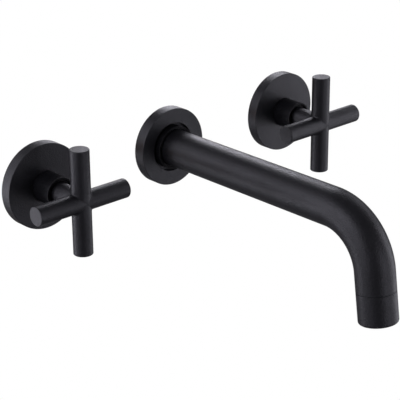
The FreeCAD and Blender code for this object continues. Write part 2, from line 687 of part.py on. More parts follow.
def stem_clip(name, across):
    """The open spring clip that keeps the stem from being pushed in."""
    ring = plain_ring("clip_groove_dia / 2 + fit_gap", "clip_dia / 2", "clip_thickness")
    body = turned(name + "_stem_clip", ring, across, "nose_end + clip_play + fit_gap")
    slot = sketch_on(body, "slot_outline", "XY_Plane")
    rectangle(slot, ("-clip_slot / 2", "0"), ("clip_slot / 2", "clip_dia"))
    pocket(body, "slot", slot, "2 * clip_thickness", backwards=True)


def disc(label, radius, thickness, middle, across, out):
    """A lapped ceramic disc with two opposite ports."""
    body = new_body(label)
    face = sketch_on(body, "face_circle", "XY_Plane")
    circle(face, radius)
    pad(body, "blank", face, thickness)
    ports = sketch_on(body, "ports_sectors", "XY_Plane")
    sector(ports, "port_inner", "port_outer", middle, "port_span")
    sector(ports, "port_inner", "port_outer", middle + 180, "port_span")
    pocket(body, "ports", ports, thickness, backwards=True)
    place(body, across, out)
    return body


def discs(name, across):
    """The closed pair of discs, the moving one with two drive slots, and the seal under them."""
    thickness = "moving_disc_thickness"
    moving = disc(name + "_moving_disc", "disc_dia / 2", thickness, 90, across, "-moving_disc_foot")
    slots = sketch_on(moving, "slots_outline", "XY_Plane", thickness)
    rectangle(slots, ("drive_slot_inner", "-drive_slot_half"), ("disc_dia", "drive_slot_half"))
    rectangle(slots, ("-disc_dia", "-drive_slot_half"), ("-drive_slot_inner", "drive_slot_half"))
    pocket(moving, "slots", slots, "drive_slot_depth")
    disc(name + "_fixed_disc", "fixed_disc_dia / 2", "fixed_disc_thickness", 0, across, "-fixed_disc_foot")
    ring = plain_ring("seat_seal_inner", "fixed_disc_dia / 2 - 2 * fit_gap", "seat_seal_length")
    turned(name + "_seat_seal", ring, across, "-seat_plane + fit_gap")


def cartridge(name, across):
    """The cartridge housing: skirt with two windows, thread, spanner flats and long nose."""
    body = new_body(name + "_cartridge")
    chamber = "chamber_dia / 2"
    running = "stem_dia / 2 + fit_gap"
    thread = "thread_dia / 2"
    nose = "nose_dia / 2"
    end = "nose_end + cartridge_foot"
    corners = [(chamber, "0"), ("skirt_dia / 2", "0"), ("skirt_dia / 2", "skirt_length"),
               (thread, "skirt_length"), (thread, "shoulder_height"), (nose, "shoulder_height"), (nose, "%s - nose_chamfer" % end),
               ("%s - nose_chamfer" % nose, end), (running, end), (running, "chamber_depth"),
               (chamber, "chamber_depth")]
    turn_outline(body, "turned", corners)
    flats = sketch_on(body, "flats_hexagon", "XY_Plane", "cartridge_hex_start")
    hexagon(flats, "hex_flats")
    circle(flats, "skirt_dia / 2")
    pad(body, "spanner_flats", flats, "shoulder_height - cartridge_hex_start")
    windows = sketch_on(body, "windows_outline", "YZ_Plane")
    rectangle(windows, ("-window_half", "window_start"), ("window_half", "window_end"))
    pocket(body, "windows", windows, "2 * skirt_dia", symmetric=True)
    rib = sketch_on(body, "rib_sector", "XY_Plane", "skirt_length")
    sector(rib, "rib_inner", "chamber_dia / 2 + weld_overlap", STOP_MIDDLE, "stop_span")
    pad(body, "stop_rib", rib, "rib_height")
    place(body, across, "-cartridge_foot")


# ---------------------------------------------------------------- pipework in the wall

def valve_body(name, side, across):
    """Brass body behind each handle: barrel, G 1/2 inlet below and a pipe outlet to the tee."""
    body = new_body(name + "_valve_body")
    front = "plate_face - valve_front"
    pipe = "plate_face - pipe_plane"
    inlet = "plate_face - inlet_axis"
    seat = "plate_face - seat_plane"
    to_tee_is_backwards = side > 0
    barrel = sketch_on(body, "barrel_circle", "XY_Plane")
    circle(barrel, "barrel_dia / 2")
    pad(body, "barrel", barrel, front)
    edges = circle_edges(body.Tip.Shape, size("barrel_dia / 2"), size(front))
    round_over(body, "front_edge", edges, "barrel_edge")
    boss = sketch_on(body, "inlet_circle", "XZ_Plane")
    circle(boss, "inlet_boss_dia / 2", "0", inlet)
    pad(body, "inlet_boss", boss, "inlet_drop")
    for part, radius, reach in (("shoulder", "outlet_shoulder_dia / 2", "outlet_shoulder"),
                                ("outlet", "outlet_boss_dia / 2", "outlet_reach")):
        ring = sketch_on(body, part + "_circle", "YZ_Plane")
        circle(ring, radius, "0", pipe)
        pad(body, part + "_boss", ring, reach, backwards=to_tee_is_backwards)
    seat_bore = "skirt_dia / 2 + 2 * fit_gap"
    thread_bore = "thread_dia / 2 + 2 * fit_gap"
    gallery = "gallery_dia / 2"
    waterway_end = "%s - inlet_sump" % inlet
    bore_outline(body, "cartridge_bore", [
        ("0", waterway_end), ("waterway_dia / 2", waterway_end), ("waterway_dia / 2", seat),
        (seat_bore, seat), (seat_bore, "gallery_start"), (gallery, "gallery_start"), (gallery, "gallery_end"),
        (thread_bore, "gallery_end"), (thread_bore, front), ("0", front)])
    waterway = sketch_on(body, "inlet_waterway", "XZ_Plane")
    circle(waterway, "waterway_dia / 2", "0", inlet)
    pocket(body, "inlet_drilling", waterway, "inlet_drop", backwards=True)
    thread = sketch_on(body, "inlet_thread_circle", "XZ_Plane", "inlet_drop")
    circle(thread, "half_inch_bore / 2", "0", inlet)
    pocket(body, "inlet_thread", thread, "inlet_thread_length")
    outlet = sketch_on(body, "outlet_waterway", "YZ_Plane")
    circle(outlet, "waterway_dia / 2", "0", pipe)
    pocket(body, "outlet_drilling", outlet, "outlet_reach", backwards=not to_tee_is_backwards)
    socket = sketch_on(body, "outlet_socket", "YZ_Plane", "%d * (outlet_reach - socket_depth)" % -side)
    circle(socket, "pipe_dia / 2 + fit_gap", "0", pipe)
    pocket(body, "outlet_counterbore", socket, "socket_depth", backwards=not to_tee_is_backwards)
    screws = sketch_on(body, "screw_circles", "XY_Plane")
    for sign in ("", "-"):
        circle(screws, "tapped_dia / 2", sign + "valve_screw_offset")
    pocket(body, "tapped_holes", screws, "tapped_depth", backwards=True)
    place(body, across, "-plate_face")


def crossover(name, side):
    """Pipe, nuts and olives between one valve body and the tee."""
    bottom = "tee_reach - socket_depth + pipe_play"
    far = "handle_spacing / 2 - outlet_reach + socket_depth - pipe_play"
    body = new_body(name + "_crossover_pipe")
    section = sketch_on(body, "section", "YZ_Plane")
    circle(section, "pipe_dia / 2")
    circle(section, "pipe_bore / 2")
    pad(body, "pipe", section, "%s - (%s)" % (far, bottom), backwards=side < 0)
    place(body, "%d * (%s)" % (side, bottom), "-pipe_plane")

    thread = "outlet_boss_dia / 2 + 2 * fit_gap"
    hole = "pipe_dia / 2 + 2 * fit_gap"
    inner = "nut_length - nut_wall"
    overlap = "nut_length - nut_wall - olive_length - 4 * fit_gap"
    ends = (("tee", "tee_reach - (%s)" % overlap, "tee_reach + 2 * fit_gap", side > 0),
            ("valve", "handle_spacing / 2 - outlet_reach + " + overlap,
             "handle_spacing / 2 - outlet_reach - 2 * fit_gap", side < 0))
    nuts = []
    olives = []
    for end, mouth, olive_start, faces_right in ends:
        nut = loose(new_body(name + "_nut_at_" + end), name + "_nut_at_" + end)
        nut_section = sketch_on(nut, "flats_hexagon", "YZ_Plane")
        hexagon(nut_section, "nut_flats")
        pad(nut, "blank", nut_section, "nut_length", backwards=not faces_right)
        for cut_name, radius, length in (("thread", thread, inner), ("pipe_hole", hole, "nut_length")):
            ring = sketch_on(nut, cut_name + "_circle", "YZ_Plane")
            circle(ring, radius)
            pocket(nut, cut_name, ring, length, backwards=faces_right)
        place(nut, "%d * (%s)" % (side, mouth), "-pipe_plane")
        nuts.append(nut)
        olive = loose(new_body(name + "_olive_at_" + end), name + "_olive_at_" + end)
        olive_section = sketch_on(olive, "section", "YZ_Plane")
        circle(olive_section, "olive_dia / 2")
        circle(olive_section, "pipe_dia / 2 + fit_gap")
        pad(olive, "ring", olive_section, "olive_length", backwards=not faces_right)
        place(olive, "%d * (%s)" % (side, olive_start), "-pipe_plane")
        olives.append(olive)
    group(name + "_crossover_nuts", nuts)
    group(name + "_crossover_olives", olives)


def tee():
    """The brass tee that carries the spout, with a pillar back to the mounting plate."""
    body = new_body("spout_tee")
    pipe = "plate_face - pipe_plane"
    front = "plate_face - tee_front"
    pillar = sketch_on(body, "pillar_circle", "XY_Plane")
    circle(pillar, "pillar_dia / 2")
    pad(body, "pillar", pillar, pipe)
    centre = sketch_on(body, "centre_circle", "XY_Plane", "%s - tee_shoulder" % pipe)
    circle(centre, "tee_body_dia / 2")
    pad(body, "centre", centre, "%s - (%s) + tee_shoulder" % (front, pipe))
    for part, radius, reach in (("shoulder", "outlet_shoulder_dia / 2", "tee_shoulder"),
                                ("side", "outlet_boss_dia / 2", "tee_reach")):
        ring = sketch_on(body, part + "_circle", "YZ_Plane")
        circle(ring, radius, "0", pipe)
        pad(body, part + "_bosses", ring, "2 * %s" % reach, symmetric=True)
    sump = "%s - tee_sump" % pipe
    thread_end = "%s - tee_thread_length" % front
    bore_outline(body, "front_port", [
        ("0", sump), ("waterway_dia / 2", sump), ("waterway_dia / 2", thread_end),
        ("half_inch_bore / 2", thread_end), ("half_inch_bore / 2", front), ("0", front)])
    through = sketch_on(body, "side_waterway", "YZ_Plane")
    circle(through, "waterway_dia / 2", "0", pipe)
    pocket(body, "side_drilling", through, "2 * tee_reach", symmetric=True)
    for side, hand in ((-1, "left"), (1, "right")):
        socket = sketch_on(body, "socket_" + hand, "YZ_Plane", "%d * tee_reach" % side)
        circle(socket, "pipe_dia / 2 + fit_gap", "0", pipe)
        pocket(body, "counterbore_" + hand, socket, "socket_depth", backwards=side < 0)
    screw = sketch_on(body, "screw_circle", "XY_Plane")
    circle(screw, "tapped_dia / 2")
    pocket(body, "tapped_hole", screw, "tee_tapped_depth", backwards=True)
    place(body, "0", "-plate_face")


def mounting_plate():
    """The plate that holds both valves and the tee at their spacing, and screws to the framing."""
    body = new_body("mounting_plate")
    width, height = "plate_width / 2", "plate_height / 2"
    sheet_outline = sketch_on(body, "outline", "XY_Plane")
    rectangle(sheet_outline, ("-" + width, "-" + height), (width, height))
    pad(body, "sheet", sheet_outline, "plate_thickness")
    corners = []
    for number, edge in enumerate(body.Tip.Shape.Edges, 1):
        if abs(edge.Length - size("plate_thickness")) < 1e-4:
            corners.append("Edge%d" % number)
    round_over(body, "corners", corners, "plate_corner")
    holes = sketch_on(body, "hole_circles", "XY_Plane")
    for across, up in plate_hole_centres():
        circle(holes, "fixing_dia / 2", across, up)
    for sign in ("", "-"):
        for other in ("", "-"):
            circle(holes, "fixing_dia / 2", sign + "fixing_span / 2", other + "fixing_rise / 2")
    pocket(body, "holes", holes, "plate_thickness", backwards=True)
    sunk = []
    for name in circle_edges(body.Tip.Shape, size("fixing_dia / 2"), 0):
        across = abs(body.Tip.Shape.getElement(name).Curve.Center.x)
        if abs(across - size("fixing_span / 2")) > 1:
            sunk.append(name)
    base = body.Tip
    countersink = body.newObject("PartDesign::Chamfer", "mounting_plate_countersinks")
    countersink.Base = (base, sunk)
    countersink.setExpression("Size", bound("countersink"))
    doc.recompute()
    place(body, "0", "-(plate_face + plate_thickness)")


def plate_hole_centres():
    """Where the plate's own screws go: two at each valve and one at the tee."""
    centres = [("0", "0")]
    for side in ("", "-"):
        for sign in ("+", "-"):
            centres.append(("%s(%s) %s valve_screw_offset" % (side, HALF_SPACING, sign), "0"))
    return centres


def plate_screws():
    """Countersunk socket screws from behind the plate, flush with its back."""
    screws = []
    for number, (across, up) in enumerate(plate_hole_centres(), 1):
        screw = loose(new_body("plate_screw_%d" % number), "plate_screw_%d" % number)
        head = "fixing_dia / 2 - fit_gap"
        shank = "plate_screw_dia / 2"
        under_head = "plate_thickness - 2 * fit_gap"
        turn_outline(screw, "turned", [
            ("0", "0"), ("%s + countersink" % head, "0"), (head, "countersink"), (head, under_head),
            (shank, under_head), (shank, "plate_screw_length"), ("0", "plate_screw_length")])
        socket = sketch_on(screw, "socket_hexagon", "XY_Plane")
        hexagon(socket, "spout_key")
        pocket(screw, "socket", socket, "grub_socket_depth", backwards=True)
        place(screw, across, "-(plate_face + plate_thickness)", up)
        screws.append(screw)
    group("plate_screws", screws)


# ---------------------------------------------------------------- spout

def nipple():
    """The brass nipple that carries water from the tee into the spout."""
    smooth = "nipple_dia / 2"
    bore = "nipple_bore / 2"
    seal = "nipple_groove_dia / 2"
    lock = "lock_groove_dia / 2"
    thread = "half_inch_bore / 2 - fit_gap"
    end = "nipple_end + nipple_foot"
    corners = [(bore, "0"), (thread, "0"), (thread, "nipple_thread_length"), (smooth, "nipple_thread_length")]
    grooves = (("spout_screw_reach + nipple_foot - lock_groove_width / 2", lock, "lock_groove_width"),
               ("first_nipple_groove", seal, "nipple_groove_width"),
               ("second_nipple_groove", seal, "nipple_groove_width"))
    for start, depth, width in grooves:
        stop = "%s + %s" % (start, width)
        corners += [(smooth, start), (depth, start), (depth, stop), (smooth, stop)]
    corners += [(smooth, "%s - nipple_chamfer" % end), ("%s - nipple_chamfer" % smooth, end), (bore, end)]
    body = turned("spout_nipple", corners, "0", "-nipple_foot")
    flats = sketch_on(body, "flats_hexagon", "XY_Plane", "nipple_thread_length")
    hexagon(flats, "hex_flats")
    circle(flats, "nipple_bore / 2 + hex_overlap")
    pad(body, "spanner_flats", flats, "nipple_hex_length")
    rings = []
    for start in ("first_nipple_groove", "second_nipple_groove"):
        out = "%s + nipple_groove_width / 2 - nipple_foot" % start
        middle = "nipple_groove_dia / 2 + nipple_seal_radius + fit_gap"
        rings.append(seal_ring("nipple_seal_in_" + start, middle, "nipple_seal_radius", "0", out))
    group("nipple_seals", rings)


def spout_socket():
    """The brass socket brazed into the root of the tube, which slides on the nipple."""
    ring = plain_ring("nipple_dia / 2 + fit_gap", "tube_bore / 2 - fit_gap", "socket_length")
    body = turned("spout_socket", ring, "0", "tube_root")
    hole = sketch_on(body, "screw_circle", "XZ_Plane")
    circle(hole, "spout_screw_dia / 2 + fit_gap", "0", "spout_screw_reach - tube_root")
    pocket(body, "screw_hole", hole, "tube_dia", backwards=True)


def spout_tube():
    """The spout: one round tube, straight out of the wall and bent down near its end."""
    body = new_body("spout_tube")
    path = sketch_on(body, "centre_line", "YZ_Plane")
    straight, radius, tail = size("straight_run - tube_root"), size("bend_radius"), size("tail_length")
    turn = math.radians(size("bend_angle"))
    centre = FreeCAD.Vector(-radius, straight, 0)
    bend_end = centre + FreeCAD.Vector(radius * math.cos(turn), radius * math.sin(turn), 0)
    tail_end = bend_end + FreeCAD.Vector(-tail * math.sin(turn), tail * math.cos(turn), 0)
    run = path.addGeometry(Part.LineSegment(FreeCAD.Vector(), FreeCAD.Vector(0, straight, 0)))
    bend = path.addGeometry(Part.ArcOfCircle(Part.Circle(centre, FreeCAD.Vector(0, 0, 1), radius), 0, turn))
    end = path.addGeometry(Part.LineSegment(bend_end, tail_end))
    path.addConstraint(Sketcher.Constraint("Coincident", run, 1, -1, 1))
    path.addConstraint(Sketcher.Constraint("Vertical", run))
    path.addConstraint(Sketcher.Constraint("Tangent", run, 2, bend, 1))
    path.addConstraint(Sketcher.Constraint("Tangent", bend, 2, end, 1))
    dimension(path, "Distance", (run,), "straight_run - tube_root")
    dimension(path, "Radius", (bend,), "bend_radius")
    dimension(path, "Distance", (end,), "tail_length - seam / 2")
    index = path.addConstraint(Sketcher.Constraint("Angle", end, 1, run, 2, math.pi - turn))
    path.setExpression("Constraints[%d]" % index, bound("180 - bend_angle"))
    section = sketch_on(body, "section", "XY_Plane")
    circle(section, "tube_dia / 2")
    circle(section, "tube_bore / 2")
    tube = body.newObject("PartDesign::AdditivePipe", "spout_tube_pipe")
    tube.Profile = section
    tube.Spine = (path, ["Edge1", "Edge2", "Edge3"])
    doc.recompute()
    hole = sketch_on(body, "screw_circle", "XZ_Plane")
    circle(hole, "spout_screw_dia / 2 + 4 * fit_gap", "0", "spout_screw_reach - tube_root")
    pocket(body, "screw_hole", hole, "tube_dia", backwards=True)
    place(body, "0", "tube_root")


def at_tip(piece, along="0"):
    """Stands a piece on the spout's slanted end, some way along the tube from the cap's seam."""
    tail = "(tail_length + (%s))" % along
    out = "straight_run + bend_radius * sin(bend_angle) + %s * cos(bend_angle)" % tail
    up = "-(bend_radius * (1 - cos(bend_angle)) + %s * sin(bend_angle))" % tail
    place(piece, "0", out, up, "90 + bend_angle")


def flow_straightener(along):
    """A disc with a middle hole and three rings of holes, each ring drilled once and repeated."""
    body = new_body("flow_straightener")
    blank = sketch_on(body, "blank_circle", "XY_Plane")
    circle(blank, "straightener_dia / 2")
    pad(body, "blank", blank, "straightener_length")
    middle = sketch_on(body, "middle_hole", "XY_Plane")
    circle(middle, "jet_dia / 2")
    pocket(body, "middle", middle, "through", backwards=True)
    for radius, count in (("inner_jets", 6), ("middle_jets", 12), ("outer_jets", 18)):
        hole = sketch_on(body, radius + "_hole", "XY_Plane")
        circle(hole, "jet_dia / 2", radius, "0")
        first = pocket(body, radius, hole, "through", backwards=True)
        repeat = body.newObject("PartDesign::PolarPattern", body.Name + "_ring_of_" + radius)
        repeat.Originals = [first]
        repeat.Axis = (hole, ["N_Axis"])
        repeat.Angle = 360
        repeat.Occurrences = count
        body.Tip = repeat
        doc.recompute()
    at_tip(body, along)


def aerator():
    """What closes the spout's end: fitting, washer, flow straightener and the flush cap."""
    thread = "tip_thread_dia / 2"
    lip = "cap_length - lip_depth"
    straightener_start = "%s - fit_gap - straightener_length" % lip
    washer_start = "%s - fit_gap - washer_thickness" % straightener_start
    inside = "tube_bore / 2 - fit_gap"
    length = "fitting_root + %s - fit_gap" % washer_start
    fitting = turned("outlet_fitting", [
        ("fitting_bore_dia / 2", "0"), (inside, "0"), (inside, "fitting_root"), (thread, "fitting_root"),
        (thread, length), ("fitting_bore_dia / 2", length)])
    at_tip(fitting, "-fitting_root")
    washer = turned("aerator_washer", plain_ring("washer_bore_dia / 2", "washer_dia / 2", "washer_thickness"))
    at_tip(washer, washer_start)
    flow_straightener(straightener_start)

    bore = "%s + 2 * fit_gap" % thread
    outer = "tube_dia / 2"
    cap = turned("aerator_cap", [
        (bore, "seam / 2"), (outer, "seam / 2"), (outer, "cap_length"), ("outlet_dia / 2", "cap_length"),
        ("outlet_dia / 2", lip), (bore, lip)])
    edges = circle_edges(cap.Tip.Shape, size(outer), size("cap_length"))
    round_over(cap, "tip_edge", edges, "tip_round")
    at_tip(cap)


# ---------------------------------------------------------------- assembly

for side_name, side in (("hot", -1), ("cold", 1)):
    axis = side_axis(side)
    handle_flange(side_name, axis)
    sleeve(side_name, axis)
    cross_handle(side_name, axis)
    drive_insert(side_name, axis)
    grub_screw(side_name + "_handle_screw", "handle_screw_dia / 2 - fit_gap",
               "square_flats / 2 + 2 * fit_gap", "hub_dia / 2 - screw_sink", "handle_key", axis, "screw_reach")
    stem(side_name, side, axis)
    stem_clip(side_name, axis)
    stem_seals(side_name, axis)
    discs(side_name, axis)
    cartridge(side_name, axis)
    valve_body(side_name, side, axis)
    crossover(side_name, side)

tee()
mounting_plate()
plate_screws()
nipple()
spout_socket()
spout_tube()
spout_flange()
spout_collar()
grub_screw("spout_screw", "spout_screw_dia / 2 - fit_gap", "lock_groove_dia / 2 + 2 * fit_gap",
           "tube_dia / 2 - screw_sink", "spout_key", "0", "spout_screw_reach")
aerator()

doc.recompute()
for item in doc.Objects:
    if "Invalid" in item.State or "Error" in item.State:
        raise ValueError("%s is %s" % (item.Label, item.State))
for piece in nodes:
    if piece.Shape.isNull() or not piece.Shape.isValid() or not piece.Shape.Solids:
        raise ValueError(piece.Label + " has no valid solid")

os.makedirs("parts", exist_ok=True)
for piece in nodes:
    piece.Shape.exportStep("parts/%s.step" % piece.Label)
    print(piece.Label, len(piece.Shape.Solids), "solids", round(piece.Shape.Volume, 1), "mm3")
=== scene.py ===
import math

import bpy
import numpy as np
from mathutils import Matrix, Vector


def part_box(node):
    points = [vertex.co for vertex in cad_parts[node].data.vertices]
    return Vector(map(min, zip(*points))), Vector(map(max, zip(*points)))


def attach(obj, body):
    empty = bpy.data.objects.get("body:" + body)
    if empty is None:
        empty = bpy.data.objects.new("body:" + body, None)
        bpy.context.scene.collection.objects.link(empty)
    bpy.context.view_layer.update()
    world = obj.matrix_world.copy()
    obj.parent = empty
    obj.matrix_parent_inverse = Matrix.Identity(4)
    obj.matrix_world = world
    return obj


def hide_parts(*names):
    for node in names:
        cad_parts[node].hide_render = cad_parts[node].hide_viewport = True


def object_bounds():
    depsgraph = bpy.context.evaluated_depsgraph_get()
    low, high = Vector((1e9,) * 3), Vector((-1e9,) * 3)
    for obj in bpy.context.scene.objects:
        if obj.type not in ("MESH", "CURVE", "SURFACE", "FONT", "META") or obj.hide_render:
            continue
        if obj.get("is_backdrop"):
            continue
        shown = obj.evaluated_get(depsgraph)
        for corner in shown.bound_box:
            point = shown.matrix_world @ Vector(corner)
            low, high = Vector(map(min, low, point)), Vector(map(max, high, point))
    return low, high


# A three-hole bath faucet on a wall, in satin black: a round spout between two cross handles.
# Metres. +Z is up, -Y comes out of the wall into the room and +X is to the right.
# The trim in the room is made here as turned and mitred surfaces that stand for its CAD nodes.
# The valves, pipes and screws inside the wall are the CAD nodes with their own finishes.

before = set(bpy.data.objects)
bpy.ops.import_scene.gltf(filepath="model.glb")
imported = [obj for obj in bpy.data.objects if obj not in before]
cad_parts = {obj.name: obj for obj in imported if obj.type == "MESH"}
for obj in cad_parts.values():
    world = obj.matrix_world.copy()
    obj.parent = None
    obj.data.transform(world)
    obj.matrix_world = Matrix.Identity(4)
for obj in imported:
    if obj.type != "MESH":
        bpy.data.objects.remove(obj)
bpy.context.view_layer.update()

# ---------------------------------------------------------------- sizes, in millimetres

MM = 0.001
TURNS = 144                 # points round a turned piece
ARC_STEPS = 6               # steps round each softened corner
HAIR_EDGE = 0.08            # rounding of the sharpest edges
CRISP = 0.12                # rounding of a machined corner
FINE_EDGE = 0.2             # rounding of inner edges that show
EASED_EDGE = 0.3            # rounding of the flanges' and rings' outer edges
CAST_EDGE = 0.4             # rounding inside the flanges' backs
BREAK_EDGE = 0.5            # rounding of the bars' ends
TIP_EDGE = 1.3              # rounding of the spout's tip
HOLE_SLOPE = 0.35           # width of the edge of a screw recess

FLANGE_RIM = 4.5            # thickness of the flanges' rims
FLANGE_PLATE = 3.0          # thickness of the handle flanges' front plates

BAR_RADIUS = 6.0
BAR_TURNS = 112             # points round an arm of a cross
BAR_ROWS = 56               # rows along an arm of a cross
BAR_CROWDING = 1.9          # power that crowds the rows towards the crease
CREASE_SOFTNESS = 1.1       # how far the brazed crease between two bars blends
HUB_RADIUS = 6.6
HUB_BORE = 5.25
HUB_BORE_DEPTH = 14.0
HUB_INSIDE = 20.0           # the hub's turned length, which ends inside the bars
HANDLE_SCREW_OUT = 28.0     # from the wall to the handle screw
HANDLE_SCREW_RADIUS = 2.05
HANDLE_SCREW_SINK = 0.7     # depth of the recess over the handle screw

TUBE_RADIUS = 12.0
TUBE_BORE = 10.0
TUBE_ROOT = 2.0
STRAIGHT_RUN = 147.3
BEND_RADIUS = 34.6
BEND_ANGLE = math.radians(82)
TAIL = 11.7
SEAM = 0.24                 # gap between the spout and its end cap
CAP_LENGTH = 19.2
SPOUT_SCREW_OUT = 15.0      # from the wall to the spout screw
SPOUT_SCREW_RADIUS = 2.7
SPOUT_SCREW_SINK = 0.75     # depth of the recess over the spout screw
SEAM_ALONG = STRAIGHT_RUN + BEND_RADIUS * BEND_ANGLE + TAIL


# ---------------------------------------------------------------- surfaces

def unit(vector):
    return vector / np.linalg.norm(vector)


def soft_outline(corners):
    """Corners (radius, along, rounding) of a section, in millimetres, taken round the section.

    Each rounded corner becomes an arc: its centre lies on the corner's bisector, rounding / sin(half the
    corner's angle) from the corner, and the arc runs between the two points where it touches the sides.
    One more point on each side keeps the flats flat. A rounding of 0 leaves a plain point.
    Returns the section's points and, for each, how much of an outer edge it is."""
    table = np.array(corners, float)
    spots = table[:, :2]
    before, after = np.roll(spots, 1, 0), np.roll(spots, -1, 0)
    area = np.sum(spots[:, 0] * after[:, 1] - after[:, 0] * spots[:, 1])
    share = np.linspace(0, 1, ARC_STEPS + 1)[:, None]
    points, edges = [], []
    for spot, back, ahead, rounding in zip(spots, before, after, table[:, 2]):
        if rounding == 0:
            points.append(spot[None])
            edges.append([0.0])
            continue
        to_back, to_ahead = unit(back - spot), unit(ahead - spot)
        half = math.acos(np.clip(to_back @ to_ahead, -1, 1)) / 2
        reach = rounding / math.tan(half)
        centre = spot + unit(to_back + to_ahead) * rounding / math.sin(half)
        first, last = spot + to_back * reach - centre, spot + to_ahead * reach - centre
        turn = math.pi - 2 * half
        arc = centre + (np.sin((1 - share) * turn) * first + np.sin(share * turn) * last) / math.sin(turn)
        guard = reach + 0.4 * rounding
        outer = (to_ahead[0] * to_back[1] - to_ahead[1] * to_back[0]) * area > 0
        points.append(np.vstack([spot + to_back * guard, arc, spot + to_ahead * guard]))
        edges.append(np.concatenate([[0.0], np.sin(np.pi * share[:, 0]) * outer, [0.0]]))
    return np.vstack(points), np.concatenate(edges)


def closer_rows(points, edges, step):
    """Adds points along the straight runs of a section, so that none is longer than step."""
    after = np.roll(points, -1, 0)
    counts = np.ceil(np.linalg.norm(after - points, axis=1) / step).astype(int)
    starts = np.repeat(np.arange(len(points)), counts)
    share = np.concatenate([np.arange(count) / count for count in counts])
    ends = (starts + 1) % len(points)
    rows = points[starts] * (1 - share[:, None]) + points[ends] * share[:, None]
    return rows, edges[starts] * (share == 0)


def shell_faces(rows, turns, closed):
    """Four-cornered faces of a grid that closes round each row, and from last row to first if closed."""
    index = np.arange(rows * turns).reshape(rows, turns)
    here, there = (index, np.roll(index, -1, 0)) if closed else (index[:-1], index[1:])
    return np.stack([here, np.roll(here, -1, 1), np.roll(there, -1, 1), there], -1).reshape(-1, 4)


def make_piece(name, points, faces, edges):
    """A smooth mesh from points, four-cornered faces and the outer-edge share of each point.

    Points in the same place become one, faces with two corners in one place become triangles, and all
    faces are turned outwards if the volume that they close comes out negative."""
    cells = np.round(points / 1e-8).astype(np.int64)
    kept, first, joined = np.unique(cells, axis=0, return_index=True, return_inverse=True)
    faces = joined.reshape(-1)[faces]
    points, edges = points[first], edges[first]
    a, b, c, d = (points[faces[:, corner]] for corner in range(4))
    volume = np.sum(a * np.cross(b, c)) + np.sum(a * np.cross(c, d))
    if volume < 0:
        faces = faces[:, ::-1]
    same = faces == np.roll(faces, -1, 1)
    whole = ~same.any(1)
    pinched = same.sum(1) == 1
    triangles = faces[pinched][~same[pinched]].reshape(-1, 3)
    mesh = bpy.data.meshes.new(name)
    mesh.from_pydata(points.tolist(), [], faces[whole].tolist() + triangles.tolist())
    mesh.polygons.foreach_set("use_smooth", np.ones(len(mesh.polygons), bool))
    edge = mesh.attributes.new("outer_edge", "FLOAT", "POINT")
    edge.data.foreach_set("value", edges.astype(np.float32))
    mesh.update()
    piece = bpy.data.objects.new(name, mesh)
    bpy.context.scene.collection.objects.link(piece)
    return piece


def out_of_wall(across):
    """A straight line out of the wall: along metres from the wall face, at one place across it."""
    def line(along):
        still = np.zeros_like(along)
        centre = np.stack([still + across, -along, still], -1)
        return centre, np.array([1.0, 0, 0]), np.stack([still, still, still + 1], -1)
    return line


def spout_line(along):
    """The spout's centre line, along metres from the wall: straight out, round an arc and straight on.

    turn = (along - straight run) / bend radius, held between 0 and the whole bend;
    out = straight part + radius * sin(turn) + tail * cos(turn);
    down = radius * (1 - cos(turn)) + tail * sin(turn)."""
    run, radius = STRAIGHT_RUN * MM, BEND_RADIUS * MM
    turn = np.clip((along - run) / radius, 0, BEND_ANGLE)
    tail = np.maximum(along - run - radius * BEND_ANGLE, 0)
    out = np.minimum(along, run) + radius * np.sin(turn) + tail * np.cos(turn)
    down = radius * (1 - np.cos(turn)) + tail * np.sin(turn)
    still = np.zeros_like(along)
    centre = np.stack([still, -out, -down], -1)
    return centre, np.array([1.0, 0, 0]), np.stack([still, -np.sin(turn), np.cos(turn)], -1)


def rows_near(radius, middle, reach, steps):
    """Plain points of a section at one radius, from reach before the middle to reach after it."""
    return [(radius, along, 0) for along in np.linspace(middle - reach, middle + reach, steps + 1)]


def turned(name, corners, line, step=4.0, screw_hole=None):
    """A closed section carried round a centre line.

    point(row, turn) = centre(along) + radius * (cos(turn) * side + sin(turn) * lift(along)).
    screw_hole = (along, radius, depth) sinks a round recess into the outermost wall, on its underside:
    the radius is less by depth * (1 - smooth step of the distance from the hole's centre)."""
    section, edges = soft_outline(corners)
    section, edges = closer_rows(section, edges, step)
    radius, along = section[:, :1] * MM, section[:, 1:]
    turn = np.linspace(0, 2 * math.pi, TURNS, endpoint=False)[None, :]
    radius = np.repeat(radius, TURNS, 1)
    if screw_hole:
        middle, reach, depth = screw_hole
        wall, underside = section[:, 0].max(), 1.5 * math.pi
        outermost = section[:, :1] > wall - 1e-6
        distance = np.hypot(along - middle, wall * (turn - underside)) - reach
        rise = np.clip(distance / HOLE_SLOPE + 0.5, 0, 1)
        radius = radius - outermost * depth * MM * (1 - rise * rise * (3 - 2 * rise))
    centre, side, lift = line(along[:, 0] * MM)
    spokes = np.cos(turn)[..., None] * side + np.sin(turn)[..., None] * lift[:, None, :]
    points = centre[:, None, :] + radius[..., None] * spokes
    faces = shell_faces(len(section), TURNS, True)
    return make_piece(name, points.reshape(-1, 3), faces, np.repeat(edges, TURNS))


